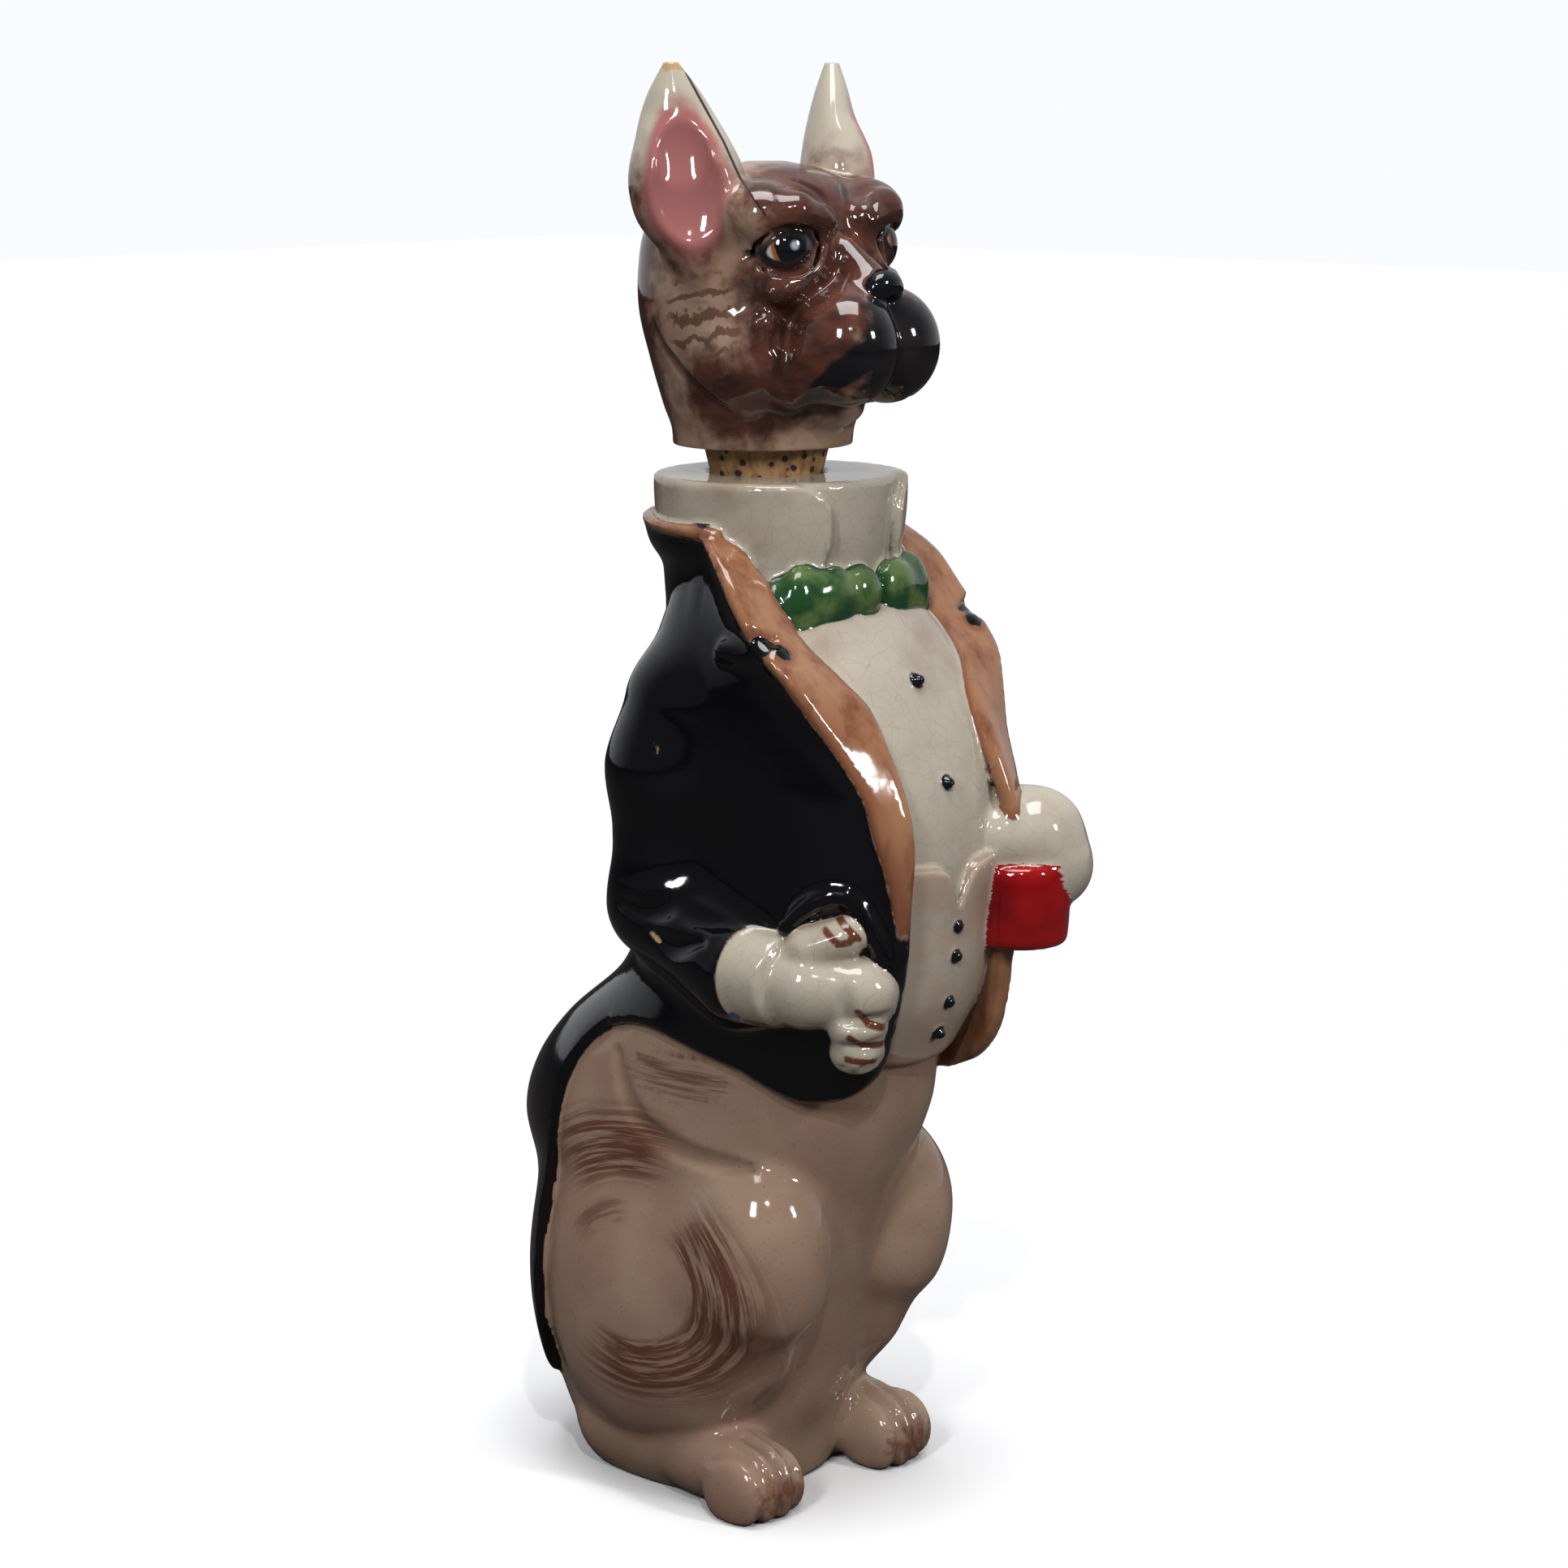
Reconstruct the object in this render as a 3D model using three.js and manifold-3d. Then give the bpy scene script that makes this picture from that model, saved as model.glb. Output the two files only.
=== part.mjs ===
// A glazed earthenware decanter in the form of a seated bulldog in a tail coat.
// The hollow figure is the bottle. The dog's head is its stopper, glued to a cork that sits in the collar.
// Millimetres, +Z up. The origin is on the floor below the middle of the bottle's mouth. The dog faces -Y,
// so its right hand is at -X and its left hand, which holds the cup, is at +X.
import * as THREE from 'three';
import { mergeVertices } from 'three/addons/utils/BufferGeometryUtils.js';
import Module from 'manifold-3d';

// Driving dimensions
const bodyHeight = 194; // floor to the collar's rim
const headHeight = 70; // neck edge to the ear tips
const wall = 4.5; // thickness of the casting
const mouthDiameter = 21.5; // the bore that the cork sits in
const corkFlare = 2.4; // how much wider the cork is at the head than at the rim
const corkTaper = 1.5; // how much narrower its foot is than the rim
const corkShowing = 5; // between the rim and the head
const corkInBottle = 18;
const corkInHead = 12;
const glueGap = 0.3; // around the cork, in the bottle and in the head
const coatThickness = 1.1; // in hundredths of the body's height
const figureTriangles = 5700;
const hollowTriangles = 700;
const headTriangles = 2600;

// The figure is drawn in hundredths of its own height, so are the head and its features.
const bodyUnit = bodyHeight / 100;
const headUnit = headHeight / 100;

// Forms: each is a function of a point that gives its distance from the surface, below zero inside.

// An ellipsoid about a centre.
function ball([cx, cy, cz], [rx, ry, rz]) {
  return (x, y, z) => {
    const [a, b, c] = [(x - cx) / rx, (y - cy) / ry, (z - cz) / rz];
    const near = Math.hypot(a, b, c);
    const slope = Math.hypot(a / rx, b / ry, c / rz);
    return slope < 1e-9 ? -Math.min(rx, ry, rz) : (near * (near - 1)) / slope;
  };
}

// A tapered limb between two points, with a radius at each end.
function limb(from, to, fromRadius, toRadius = fromRadius) {
  const axis = to.map((v, i) => v - from[i]);
  const square = axis.reduce((sum, v) => sum + v * v, 0);
  return (x, y, z) => {
    const [a, b, c] = [x - from[0], y - from[1], z - from[2]];
    const along = Math.min(1, Math.max(0, (a * axis[0] + b * axis[1] + c * axis[2]) / square));
    const off = Math.hypot(a - axis[0] * along, b - axis[1] * along, c - axis[2] * along);
    return off - fromRadius - (toRadius - fromRadius) * along;
  };
}

// A smooth curve through rows of [place, value, value, ...], level beyond its ends.
function curve(rows) {
  const slopes = rows.map((row, i) => {
    const [before, after] = [rows[Math.max(i - 1, 0)], rows[Math.min(i + 1, rows.length - 1)]];
    return row.map((_, k) => (after[k] - before[k]) / (after[0] - before[0]));
  });
  return (place) => {
    let i = 0;
    while (i < rows.length - 2 && place > rows[i + 1][0]) i++;
    const span = rows[i + 1][0] - rows[i][0];
    const t = Math.min(1, Math.max(0, (place - rows[i][0]) / span));
    const [a, b] = [(1 + 2 * t) * (1 - t) ** 2, t * (1 - t) ** 2 * span];
    const [c, d] = [t * t * (3 - 2 * t), t * t * (t - 1) * span];
    const [now, next] = [rows[i], rows[i + 1]];
    const [from, to] = [slopes[i], slopes[i + 1]];
    return now.slice(1).map((v, k) => a * v + b * from[k + 1] + c * next[k + 1] + d * to[k + 1]);
  };
}

// An upright column of rounded sections, from rows of
// [height, middle in x, middle in y, half width, half depth, squareness], where squareness 2 is an ellipse.
function column(rows) {
  const section = curve(rows);
  const [low, high] = [rows[0][0], rows[rows.length - 1][0]];
  return (x, y, z) => {
    const [cx, cy, halfWidth, halfDepth, power] = section(z);
    const [a, b] = [Math.abs(x - cx) / halfWidth, Math.abs(y - cy) / halfDepth];
    const [ap, bp] = [a ** power, b ** power];
    const near = (ap + bp) ** (1 / power);
    const spread = Math.hypot(ap / (a || 1) / halfWidth, bp / (b || 1) / halfDepth);
    const slope = near < 1e-6 ? 0 : near ** (1 - power) * spread;
    const side = slope < 1e-6 ? -Math.min(halfWidth, halfDepth) : (near - 1) / slope;
    return Math.max(side, low - z, z - high);
  };
}

// A form turned about an upright line by an angle in degrees.
function turnedAbout(form, [cx, cy], degrees) {
  const turn = THREE.MathUtils.degToRad(degrees);
  const [c, s] = [Math.cos(turn), Math.sin(turn)];
  return (x, y, z) => form(cx + c * (x - cx) + s * (y - cy), cy - s * (x - cx) + c * (y - cy), z);
}

const bothSides = (form) => (x, y, z) => form(Math.abs(x), y, z);

// Joins two distances, with a fillet of about the given size.
function soft(a, b, fillet) {
  const h = Math.max(fillet - Math.abs(a - b), 0) / fillet;
  return Math.min(a, b) - (h * h * fillet) / 4;
}

const joined = (fillet, ...forms) => (x, y, z) =>
  forms.reduce((d, form) => soft(d, form(x, y, z), fillet), Infinity);

const carved = (fillet, form, ...cuts) => (x, y, z) =>
  cuts.reduce((d, cut) => -soft(-d, cut(x, y, z), fillet), form(x, y, z));

// A form with grooves of the given depth, where its surface passes near the given lines.
const grooved = (depth, form, ...lines) => (x, y, z) => {
  const near = Math.min(...lines.map((line) => line(x, y, z)));
  return form(x, y, z) + depth * Math.min(1, Math.max(0, 0.6 - near / depth));
};

// A layer of cloth over a form, where the given edge distance is below zero.
const layer = (form, thickness, edge, fillet = 0.8) => (x, y, z) =>
  -soft(thickness - form(x, y, z), -edge(x, y, z), fillet);

// A round cord along a smooth line, from rows of [x, y, z, radius].
function strand(rows, steps = 10) {
  const line = curve(rows.map((row, i) => [i, ...row]));
  const points = Array.from({ length: steps + 1 }, (_, i) => line((i * (rows.length - 1)) / steps));
  const pieces = points.slice(1).map((end, i) => {
    const start = points[i];
    return limb(start.slice(0, 3), end.slice(0, 3), start[3], end[3]);
  });
  return (x, y, z) => Math.min(...pieces.map((piece) => piece(x, y, z)));
}

// A sheet that stands on edge: at each height its plan is a thick line between two points, from rows of
// [height, x and y of one end, x and y of the other, half thickness].
function sheet(rows) {
  const plan = curve(rows);
  const [low, high] = [rows[0][0], rows[rows.length - 1][0]];
  return (x, y, z) => {
    const [x0, y0, x1, y1, thick] = plan(z);
    const [ax, ay] = [x1 - x0, y1 - y0];
    const along = Math.min(1, Math.max(0, ((x - x0) * ax + (y - y0) * ay) / (ax * ax + ay * ay)));
    const side = Math.hypot(x - x0 - ax * along, y - y0 - ay * along) - thick;
    return Math.max(side, low - z, z - high);
  };
}

// The figure's trunk, from the seat to the neck, without limbs.
const trunk = column([
  [-2, 0, 7.5, 9.5, 10.5, 2.3],
  [0, 0, 7.5, 10.5, 12, 2.3],
  [5, 0, 8.5, 12, 14.3, 2.2],
  [10, 0, 8.6, 13.4, 16.4, 2],
  [20, 0, 7.2, 15, 17.4, 2],
  [30, 0, 6, 15, 19.4, 2],
  [35, 0, 5.8, 15, 21.5, 2],
  [40, 0, 4, 14.8, 21.8, 2],
  [45, 0, 1.4, 14.6, 20.1, 2],
  [52, 0, -4.6, 14, 17.2, 2.2],
  [60, 0, -7, 13.5, 15.9, 2.4],
  [66, 0, -7.4, 13.5, 16, 2.6],
  [73, 0, -7, 14, 15.2, 2.8],
  [82, 0, -5.6, 13.9, 12.8, 2.8],
  [86, 0, -4.8, 12.6, 10.6, 2.6],
  [90, 0, -2.8, 10.6, 8.6, 2.2],
  [95, 0, -1.7, 9.8, 9, 2],
  [98, 0, -1.7, 9.8, 9, 2],
]);

const haunch = ball([10.3, 6.4, 20.3], [6.6, 13, 15.6]);
const haunches = bothSides(haunch);
const knee = joined(
  3,
  ball([9.1, -6.6, 27.2], [6.6, 7.9, 9.4]),
  limb([9, -6.4, 22], [8.2, -4.2, 16], 5.9, 4.4),
  limb([8.2, -4.2, 16], [7.9, -0.4, 9.5], 4.4, 4),
);
const foot = joined(
  1.5,
  limb([7.8, 12.5, 4.4], [8.4, 0, 4.4], 4.4, 4.2),
  limb([8.4, 0, 4.4], [9.8, -7.6, 3.6], 4.4, 3.7),
);
const toeSpread = [7, 8.9, 10.9, 12.7];
const toes = joined(
  0.35,
  ...toeSpread.map((x, i) => ball([x, -7.9 + 0.6 * Math.abs(i - 1.2), 2.9], [1.35, 3.7, 3.5])),
);
const legs = bothSides(joined(0.9, joined(3, haunch, knee), joined(0.7, foot, toes)));
const rumpFold = bothSides(strand([
  [14.2, 6.6, 44.6, 0.2], [15, 5.1, 41.1, 0.7], [15.2, 2, 37.8, 0.9], [13.9, -3.6, 35.9, 0.8],
  [11.4, -8.6, 35.4, 0.2],
]));
const hipFold = bothSides(strand([[14.6, 3.5, 48, 0.1], [15.3, 5.4, 44, 0.6], [15.4, 4.4, 40, 0.4]]));
const heelFold = bothSides(strand([
  [15.5, 16, 14, 0.1], [14.4, 17, 9, 0.7], [13.6, 14, 5.6, 0.6], [14.6, 10, 6.4, 0.1],
]));
const toeGrooves = bothSides(joined(
  0.1,
  ...toeSpread.slice(1).map((x, i) => {
    const groove = (x + toeSpread[i]) / 2;
    return strand([
      [groove, -6, 7.4, 0.2], [groove, -9.6, 6.2, 0.5], [groove, -11.4, 3.4, 0.55], [groove, -11, 0.8, 0.4],
    ]);
  }),
));
const body = grooved(0.9, joined(1.4, trunk, legs), rumpFold, hipFold, heelFold, toeGrooves);

// The arms in their sleeves, the hands, and the cup in the left one.
const rightArm = joined(
  2.5,
  limb([-11.8, 0, 79.2], [-12.4, 1, 73], 5.4, 5.6),
  limb([-12.4, 1, 73], [-12.2, 1.6, 60], 5.6, 5.2),
  limb([-12.2, 1.6, 60], [-13.8, -9.6, 55.3], 5.3, 5.1),
);
const leftArm = joined(
  2.5,
  limb([11.8, 0, 79.2], [12.4, 1, 73], 5.4, 5.6),
  limb([12.4, 1, 73], [12.4, 1.8, 63], 5.6, 5.3),
  limb([12.4, 1.8, 63], [12.8, -12, 65.5], 5.2, 4.8),
);
const elbowFolds = joined(
  0.3,
  strand([
    [-17.6, -3.4, 64.5, 0.1], [-17.8, -3.8, 61.8, 0.9], [-18, -1, 60.4, 0.8], [-17.8, 2.2, 60.8, 0.1],
  ]),
  strand([[-17.8, -3.8, 61.8, 0.8], [-17.4, -7.6, 60.6, 0.9], [-16.4, -11.5, 60.8, 0.1]]),
  strand([[-18, -1.5, 58.5, 0.1], [-18.4, -4.5, 57.6, 0.8], [-17.8, -8, 58.4, 0.1]]),
);
const thumbRidge = strand([ // the coat's cloth, drawn up over the thumb
  [-14.6, -15.2, 60.4, 0.7], [-13, -17.4, 62.8, 0.9], [-11.2, -19.9, 63.4, 1], [-10.2, -21.6, 60.9, 0.9],
  [-9.4, -22.6, 57.6, 0.8], [-9, -23, 54.6, 0.4],
]);
const sleeveEnd = (x, y, z) => y + 12.3 + 0.35 * (x + 14);
const sleeves = joined(0.8, carved(0.5, grooved(0.9, rightArm, elbowFolds), sleeveEnd), leftArm);
const cuffs = joined(
  1,
  carved(0.5, limb([-14, -11, 55.4], [-13.7, -14.2, 55.2], 4.7, 4.5), (x, y, z) => y + 15.2),
  limb([12.6, -12, 65.6], [12.4, -15, 65.8], 4.7, 4.5),
);
const wristDip = strand([[-18, -15.4, 58.6, 0.5], [-18.2, -15.8, 54.4, 0.8], [-17.4, -15.6, 50.6, 0.5]]);
const fist = joined(
  1.5,
  limb([-13.6, -13.4, 55], [-12.9, -16.5, 54.8], 3.6, 3.7),
  limb([-12.9, -16.5, 54.8], [-11, -20.2, 54.6], 3.7, 3.3),
  ball([-10, -22.2, 54.3], [2.2, 2, 2.5]),
);
const thumb = limb([-13.4, -17.2, 58.4], [-11.7, -20.1, 59.7], 2.2, 1.9);
const fingers = joined(
  0.8,
  ball([-11, -20.9, 51.4], [2.9, 2.6, 2.2]),
  ball([-10.7, -20.6, 48.9], [2.6, 2.4, 2.1]),
);
const rightHand = joined(0.5, fist, thumb, fingers);
const leftHand = joined(
  1.5,
  limb([12.2, -15, 65.8], [12.2, -23, 65.6], 4.7, 4.7),
  limb([12.2, -23, 65.6], [12.8, -24.5, 63.2], 4.7, 4.2),
  limb([8.6, -18, 67], [8.6, -21.6, 66], 4.4, 3.8),
);
const cup = carved(0.8, ball([10, -22.8, 60], [4.9, 5.2, 12]), (x, y, z) => z - 56, (x, y, z) => 64 - z);

// The coat: the opening down its front, its hem, which falls to the tails, and the split between them.
const openingHalf = curve([
  [42, 9], [50, 8.3], [56, 7.6], [66, 8], [73, 9], [80, 11], [84, 12.4], [89, 12.6], [93, 11.5],
  [97, 3],
]);
const hemRise = curve([
  [-24, 57], [-22.8, 51], [-22.1, 48.2], [-21.1, 46.2], [-19.4, 44.4], [-17.5, 43.4], [-14, 43.2],
  [-8, 45.6], [0, 47.8],
  [5, 47.8], [10, 45.8], [13.5, 42], [15.2, 37], [16, 28], [16.5, 20], [17, 14], [18, 9], [30, 8],
]);
const tailSplit = curve([[8, 8], [12, 5], [30, 1.6], [44, 0.4], [47, -2]]);

function hemEdge(x, y, z) {
  const [rise] = hemRise(y);
  return (y > 8 ? 0.35 : 1) * (rise - z);
}

function coatEdge(x, y, z) {
  const [half] = openingHalf(z);
  const [split] = tailSplit(z);
  const front = y < -3 ? half - Math.abs(x) : -9;
  const tails = y > 8 ? split - Math.abs(x) : -9;
  return Math.max(front, tails, hemEdge(x, y, z), z - 95);
}

const coat = layer(joined(3, trunk, haunches), coatThickness, coatEdge);
const coatFront = bothSides(carved(
  0.6,
  sheet([
    [40, 8.6, -18, 11, -10, 0.9],
    [46, 8.5, -20.8, 11.2, -9.6, 0.9],
    [50, 8.4, -22.2, 11.4, -9.6, 0.9],
    [56, 8, -23.2, 11.8, -10, 0.9],
    [62, 8, -23.3, 12, -10, 0.9],
    [66, 8.8, -22.7, 12.2, -10, 0.9],
    [72, 9.7, -21, 12.6, -8, 0.9],
    [76, 11.1, -18.7, 12.8, -7, 0.9],
    [80, 12.9, -16.8, 12.4, -6, 0.9],
    [84, 14.4, -14.2, 12, -4, 0.9],
    [88, 14.2, -10.2, 11, -3, 0.9],
    [92, 13.4, -7.2, 10.4, -2, 0.7],
    [96, 12, -3, 10, 0, 0.5],
  ]),
  (x, y, z) => -hemEdge(x, y, z),
));

const lapelPlan = [ // from the inner edge, beside the shirt, to the outer edge, where the cloth turns over
  [58, 7.9, -23.7, 8, -23.6, 0.4],
  [62, 7.9, -23.9, 8.4, -23.7, 0.6],
  [66, 7.8, -24, 9, -23.2, 0.8],
  [69, 7.7, -23.8, 9.7, -22.7, 0.8],
  [72, 7.6, -22.8, 9.9, -21.7, 0.9],
  [76, 7.6, -20.9, 11.1, -19.5, 0.9],
  [80, 7.8, -18.4, 12.9, -17.5, 0.9],
  [83, 9.2, -15.8, 14.2, -15.8, 0.9],
  [86, 10.4, -12.6, 14.9, -12.9, 0.9],
  [89, 10.6, -10.2, 14.8, -10.3, 0.9],
  [92, 11, -7.8, 14.2, -7.9, 0.9],
  [94.6, 11.4, -4.9, 12.7, -4.6, 0.8],
  [95.8, 11.2, -2.4, 11.8, -2.4, 0.6],
];
const notch = limb([13.2, -12.9, 86.6], [16.6, -13.4, 86.8], 0.35, 2.3);
const collarPiping = strand([
  [12, -4.4, 95.2, 0.6], [12.4, -1, 95.4, 0.55], [11.2, 4, 95.6, 0.5], [6.6, 9, 95.8, 0.5],
  [0, 10.9, 95.9, 0.5],
]);
const lapels = bothSides(joined(0.4, carved(0.3, sheet(lapelPlan), notch), collarPiping));
const coatCollar = layer(
  column([
    [84, 0, -3.9, 12, 8, 2.2],
    [88, 0, -2.4, 10, 8.2, 2],
    [91, 0, -1.5, 10.1, 9.2, 2],
    [93.5, 0, -1, 11.2, 10.7, 2],
    [96, 0, -0.8, 11.6, 11.3, 2],
  ]),
  0.9,
  (x, y, z) => Math.max(-7 - y, z - 94.8 - 0.12 * y),
);
const collarEnd = bothSides(limb([14.6, -8, 85.2], [13.8, -13.6, 84.9], 1, 1.2)); // the roll below the notch
const collarShape = [
  [88, 0, -1.6, 9.8, 9.8, 2],
  [92, 0, -1.8, 10.2, 10.3, 2],
  [95, 0, -1.8, 10.7, 10.8, 2],
  [98, 0, -1.8, 11, 11, 2],
  [101, 0, -1.8, 11, 11, 2],
];
const collarBand = column(collarShape);
const wingEdge = curve([[86, 9], [89, 6.8], [92, 5.2], [96, 4.6], [98.5, 5.4], [100, 7.4], [101, 9]]);

function wingEnds(x, y, z) {
  const [half] = wingEdge(z);
  return y < 0 ? half - Math.abs(x) : -9;
}

const collar = joined(0.1, collarBand, layer(collarBand, 1, wingEnds, 0.25));
const bowKnot = ball([-0.9, -12.4, 89.5], [2.5, 1.9, 2.6]);
const bowLoops = bothSides(joined(
  1,
  ball([4.2, -12.1, 89.2], [2.9, 1.7, 3]),
  ball([7.2, -11, 88.6], [3, 2, 4]),
  ball([9, -9.4, 88.2], [2.1, 1.8, 3.2]),
));
const bow = joined(0.35, bowKnot, bowLoops);
const waistcoatTop = curve([[0, 61.2], [1.6, 64.3], [3, 65.2], [12, 65.6]]);

function waistcoatEdge(x, y, z) {
  const [top] = waistcoatTop(Math.abs(x));
  return Math.max(45.6 + 0.02 * x * x - z, z - top, y + 3, Math.abs(x) - 10.5);
}

const waistcoat = layer(trunk, 1, waistcoatEdge, 0.3);
const clothAndArms = joined(2.2, joined(2, coat, coatFront), sleeves);
const blackCoat = joined(0.8, clothAndArms, coatCollar, collarEnd, thumbRidge);
const figureForm = joined(
  0.5,
  joined(0.6, body, blackCoat),
  waistcoat,
  lapels,
  collar,
  grooved(0.7, joined(0.5, cuffs, rightHand), wristDip),
  leftHand,
  cup,
  bow,
);

// The head, in hundredths of its own height.
const skull = joined(
  5,
  column([
    [-4, 0, 1.5, 23.5, 23.5, 2],
    [4, 0, 1.3, 24, 23.9, 2],
    [10, 0, 1.3, 26.4, 25.6, 2],
    [22, 0, 1.5, 30, 28.5, 2],
    [35, 0, 3.5, 32, 29.5, 2],
    [47, 0, 3.5, 31.5, 30, 2],
    [56, 0, 3, 30, 28.5, 2],
    [66, 0, 1, 25, 23, 2],
    [71, 0, 0, 15, 14, 2],
    [73, 0, 0, 5, 5, 2],
  ]),
  bothSides(ball([12.5, -17.5, 48], [12.5, 12, 13])),
  bothSides(ball([21, -10, 24], [9.5, 14, 12])),
);
const brows = bothSides(joined(
  2,
  limb([23.5, -19.2, 58.4], [17, -25, 61], 5, 4.8),
  limb([17, -25, 61], [9, -26.5, 59], 4.8, 4),
  ball([20, -15.4, 60.5], [10, 11, 8.2]),
));
const muzzle = joined(
  3,
  bothSides(joined(3, ball([8, -34, 27], [13.2, 14.3, 15]), limb([11.5, -31, 23], [15.5, -22.5, 17], 9, 6))),
  ball([0, -32.5, 37], [10.5, 9, 9]),
  limb([0, -27, 50], [0, -36, 42], 4.5, 5.2),
  ball([0, -20.5, 11], [10, 10, 6]),
);
const nose = joined(
  1.2,
  ball([0, -40.3, 42.6], [5.4, 3.6, 4]),
  bothSides(ball([3.4, -39.8, 41.4], [3, 2.8, 2.8])),
);
const eyeCentre = [16.2, -20.4, 51.6];
const eyeRadius = 8;
const eyeball = bothSides(ball(eyeCentre, [eyeRadius, eyeRadius, eyeRadius]));
// The socket is a little smaller than the eye and stands before it, so that the lids close on the eye all round.
const socketReach = 0.42 * eyeRadius;
const socketSize = 0.96 * eyeRadius;
const socketCentre = [eyeCentre[0] + 0.56 * socketReach, eyeCentre[1] - 0.83 * socketReach, eyeCentre[2]];
const eyeSocket = bothSides(ball(socketCentre, [socketSize, socketSize, 0.94 * socketSize]));
const pouches = bothSides(
  joined(3, ball([20.5, -22.8, 41], [5.6, 3.8, 3.6]), ball([24, -20.4, 33], [4, 2.8, 4])),
);
const earBlade = column([
  [40, 24, 1, 4, 5, 2],
  [50, 26.4, 0.6, 8.5, 8.6, 2],
  [58, 27.9, 0, 13.2, 10.6, 2],
  [66, 28.5, 0.1, 14.9, 11.2, 2],
  [72, 28.9, 0.3, 14.4, 10.6, 2],
  [79, 29.8, 1.2, 11.9, 8.6, 2],
  [85, 30.9, 2.4, 9.4, 6, 2],
  [91, 31.7, 2.4, 6.4, 4.3, 2],
  [98, 32.5, 2.3, 1.8, 1.9, 2],
]);
const earBowl = joined(2, ball([28.4, -12.6, 67], [11.6, 6.6, 17]), ball([29.8, -8.6, 80], [7.4, 4.8, 13]));
const earTurn = 45;
const ears = bothSides(turnedAbout(carved(1.4, earBlade, earBowl), [29, 1.5], earTurn));
const browFurrow = strand([
  [8.9, -17.4, 69, 0.3], [4.8, -23, 65.7, 0.9], [2.6, -27.6, 60.7, 1.1], [2.4, -30.4, 55, 0.5],
]);
const cheekCrease = strand([
  [9, -31, 47.5, 0.3], [15.7, -29.2, 42.7, 1], [20, -26.6, 36.5, 1.1], [23.5, -24, 28.5, 1],
  [22, -26, 22, 0.2],
]);
const jawFold = strand([
  [30, 12, 33, 0.2], [29.6, 7, 25, 1], [27.6, -6.7, 12.5, 1.2], [20.4, -16.2, 6, 0.9],
  [10, -23, 4, 0.2],
]);
const philtrum = strand([[0, -42, 38.5, 0.5], [0, -46, 33, 0.9], [0, -49.5, 24, 1], [0, -47, 14, 0.9]]);
const lipLine = strand([
  [2, -46, 14.5, 0.6], [9, -42, 12.6, 0.9], [15, -34, 11.6, 1.1], [18.4, -26, 11.2, 0.9],
  [19.5, -22.6, 10, 0.2],
]);
const creases = [browFurrow, cheekCrease, jawFold, philtrum, lipLine].map(bothSides);
const face = joined(4, joined(3, skull, muzzle), brows, pouches);
const headWhole = joined(1, joined(3, grooved(1.2, face, ...creases), ears), nose);
const eyeFillet = 0.22 * eyeRadius; // between the eye and its lids
const headForm = joined(eyeFillet, carved(1.2, headWhole, eyeSocket), eyeball);

// Meshing: the cells of a grid are split into six tetrahedra each, and the surface is where a form's
// distance passes zero along their edges.
const cellCorners = [
  [0, 0, 0], [1, 0, 0], [0, 1, 0], [1, 1, 0], [0, 0, 1], [1, 0, 1], [0, 1, 1], [1, 1, 1],
];
const cellTetrahedra = [
  [0, 1, 3, 7], [0, 3, 2, 7], [0, 2, 6, 7], [0, 6, 4, 7], [0, 4, 5, 7], [0, 5, 1, 7],
];

function surfaceOf(form, [low, high], step) {
  const count = low.map((v, i) => Math.ceil((high[i] - v) / step) + 1);
  const [rowLength, layerLength] = [count[0], count[0] * count[1]];
  const distance = new Float64Array(layerLength * count[2]);
  for (let k = 0, at = 0; k < count[2]; k++)
    for (let j = 0; j < count[1]; j++)
      for (let i = 0; i < count[0]; i++, at++)
        distance[at] = form(low[0] + i * step, low[1] + j * step, low[2] + k * step) || 1e-9;
  const reach = cellCorners.map(([i, j, k]) => i + j * rowLength + k * layerLength);
  const points = [];
  const faces = [];
  const crossings = new Map();
  const place = (at) => [at % rowLength, Math.floor(at / rowLength) % count[1], Math.floor(at / layerLength)];
  const crossing = (a, b) => {
    const [near, far] = a < b ? [a, b] : [b, a];
    const key = near * distance.length + far;
    if (!crossings.has(key)) {
      const share = Math.min(0.95, Math.max(0.05, distance[near] / (distance[near] - distance[far])));
      const [from, to] = [place(near), place(far)];
      crossings.set(key, points.length / 3);
      for (let i = 0; i < 3; i++) points.push(low[i] + step * (from[i] + share * (to[i] - from[i])));
    }
    return crossings.get(key);
  };
  for (let k = 0; k < count[2] - 1; k++)
    for (let j = 0; j < count[1] - 1; j++)
      for (let i = 0; i < count[0] - 1; i++) {
        const cell = i + j * rowLength + k * layerLength;
        for (const tetrahedron of cellTetrahedra) {
          const corners = tetrahedron.map((c) => cell + reach[c]);
          const inside = corners.filter((c) => distance[c] < 0);
          if (inside.length === 0 || inside.length === 4) continue;
          addTetrahedronFaces(corners, inside, distance, crossing, faces);
        }
      }
  return { points, faces };
}

// The one or two triangles that part a tetrahedron's inside corners from its outside ones.
function addTetrahedronFaces(corners, inside, distance, crossing, faces) {
  const outside = corners.filter((c) => distance[c] >= 0);
  // An even order of corners keeps the tetrahedron's own handedness.
  const even = isEven(corners, [...inside, ...outside]);
  const [a, b, c, d] = [...inside, ...outside];
  const add = (p, q, r) => faces.push(...(even ? [p, q, r] : [p, r, q]));
  if (inside.length === 1) add(crossing(a, b), crossing(a, c), crossing(a, d));
  else if (inside.length === 3) add(crossing(d, a), crossing(d, b), crossing(d, c));
  else {
    const [ac, ad, bd, bc] = [crossing(a, c), crossing(a, d), crossing(b, d), crossing(b, c)];
    add(ac, ad, bd);
    add(ac, bd, bc);
  }
}

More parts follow.
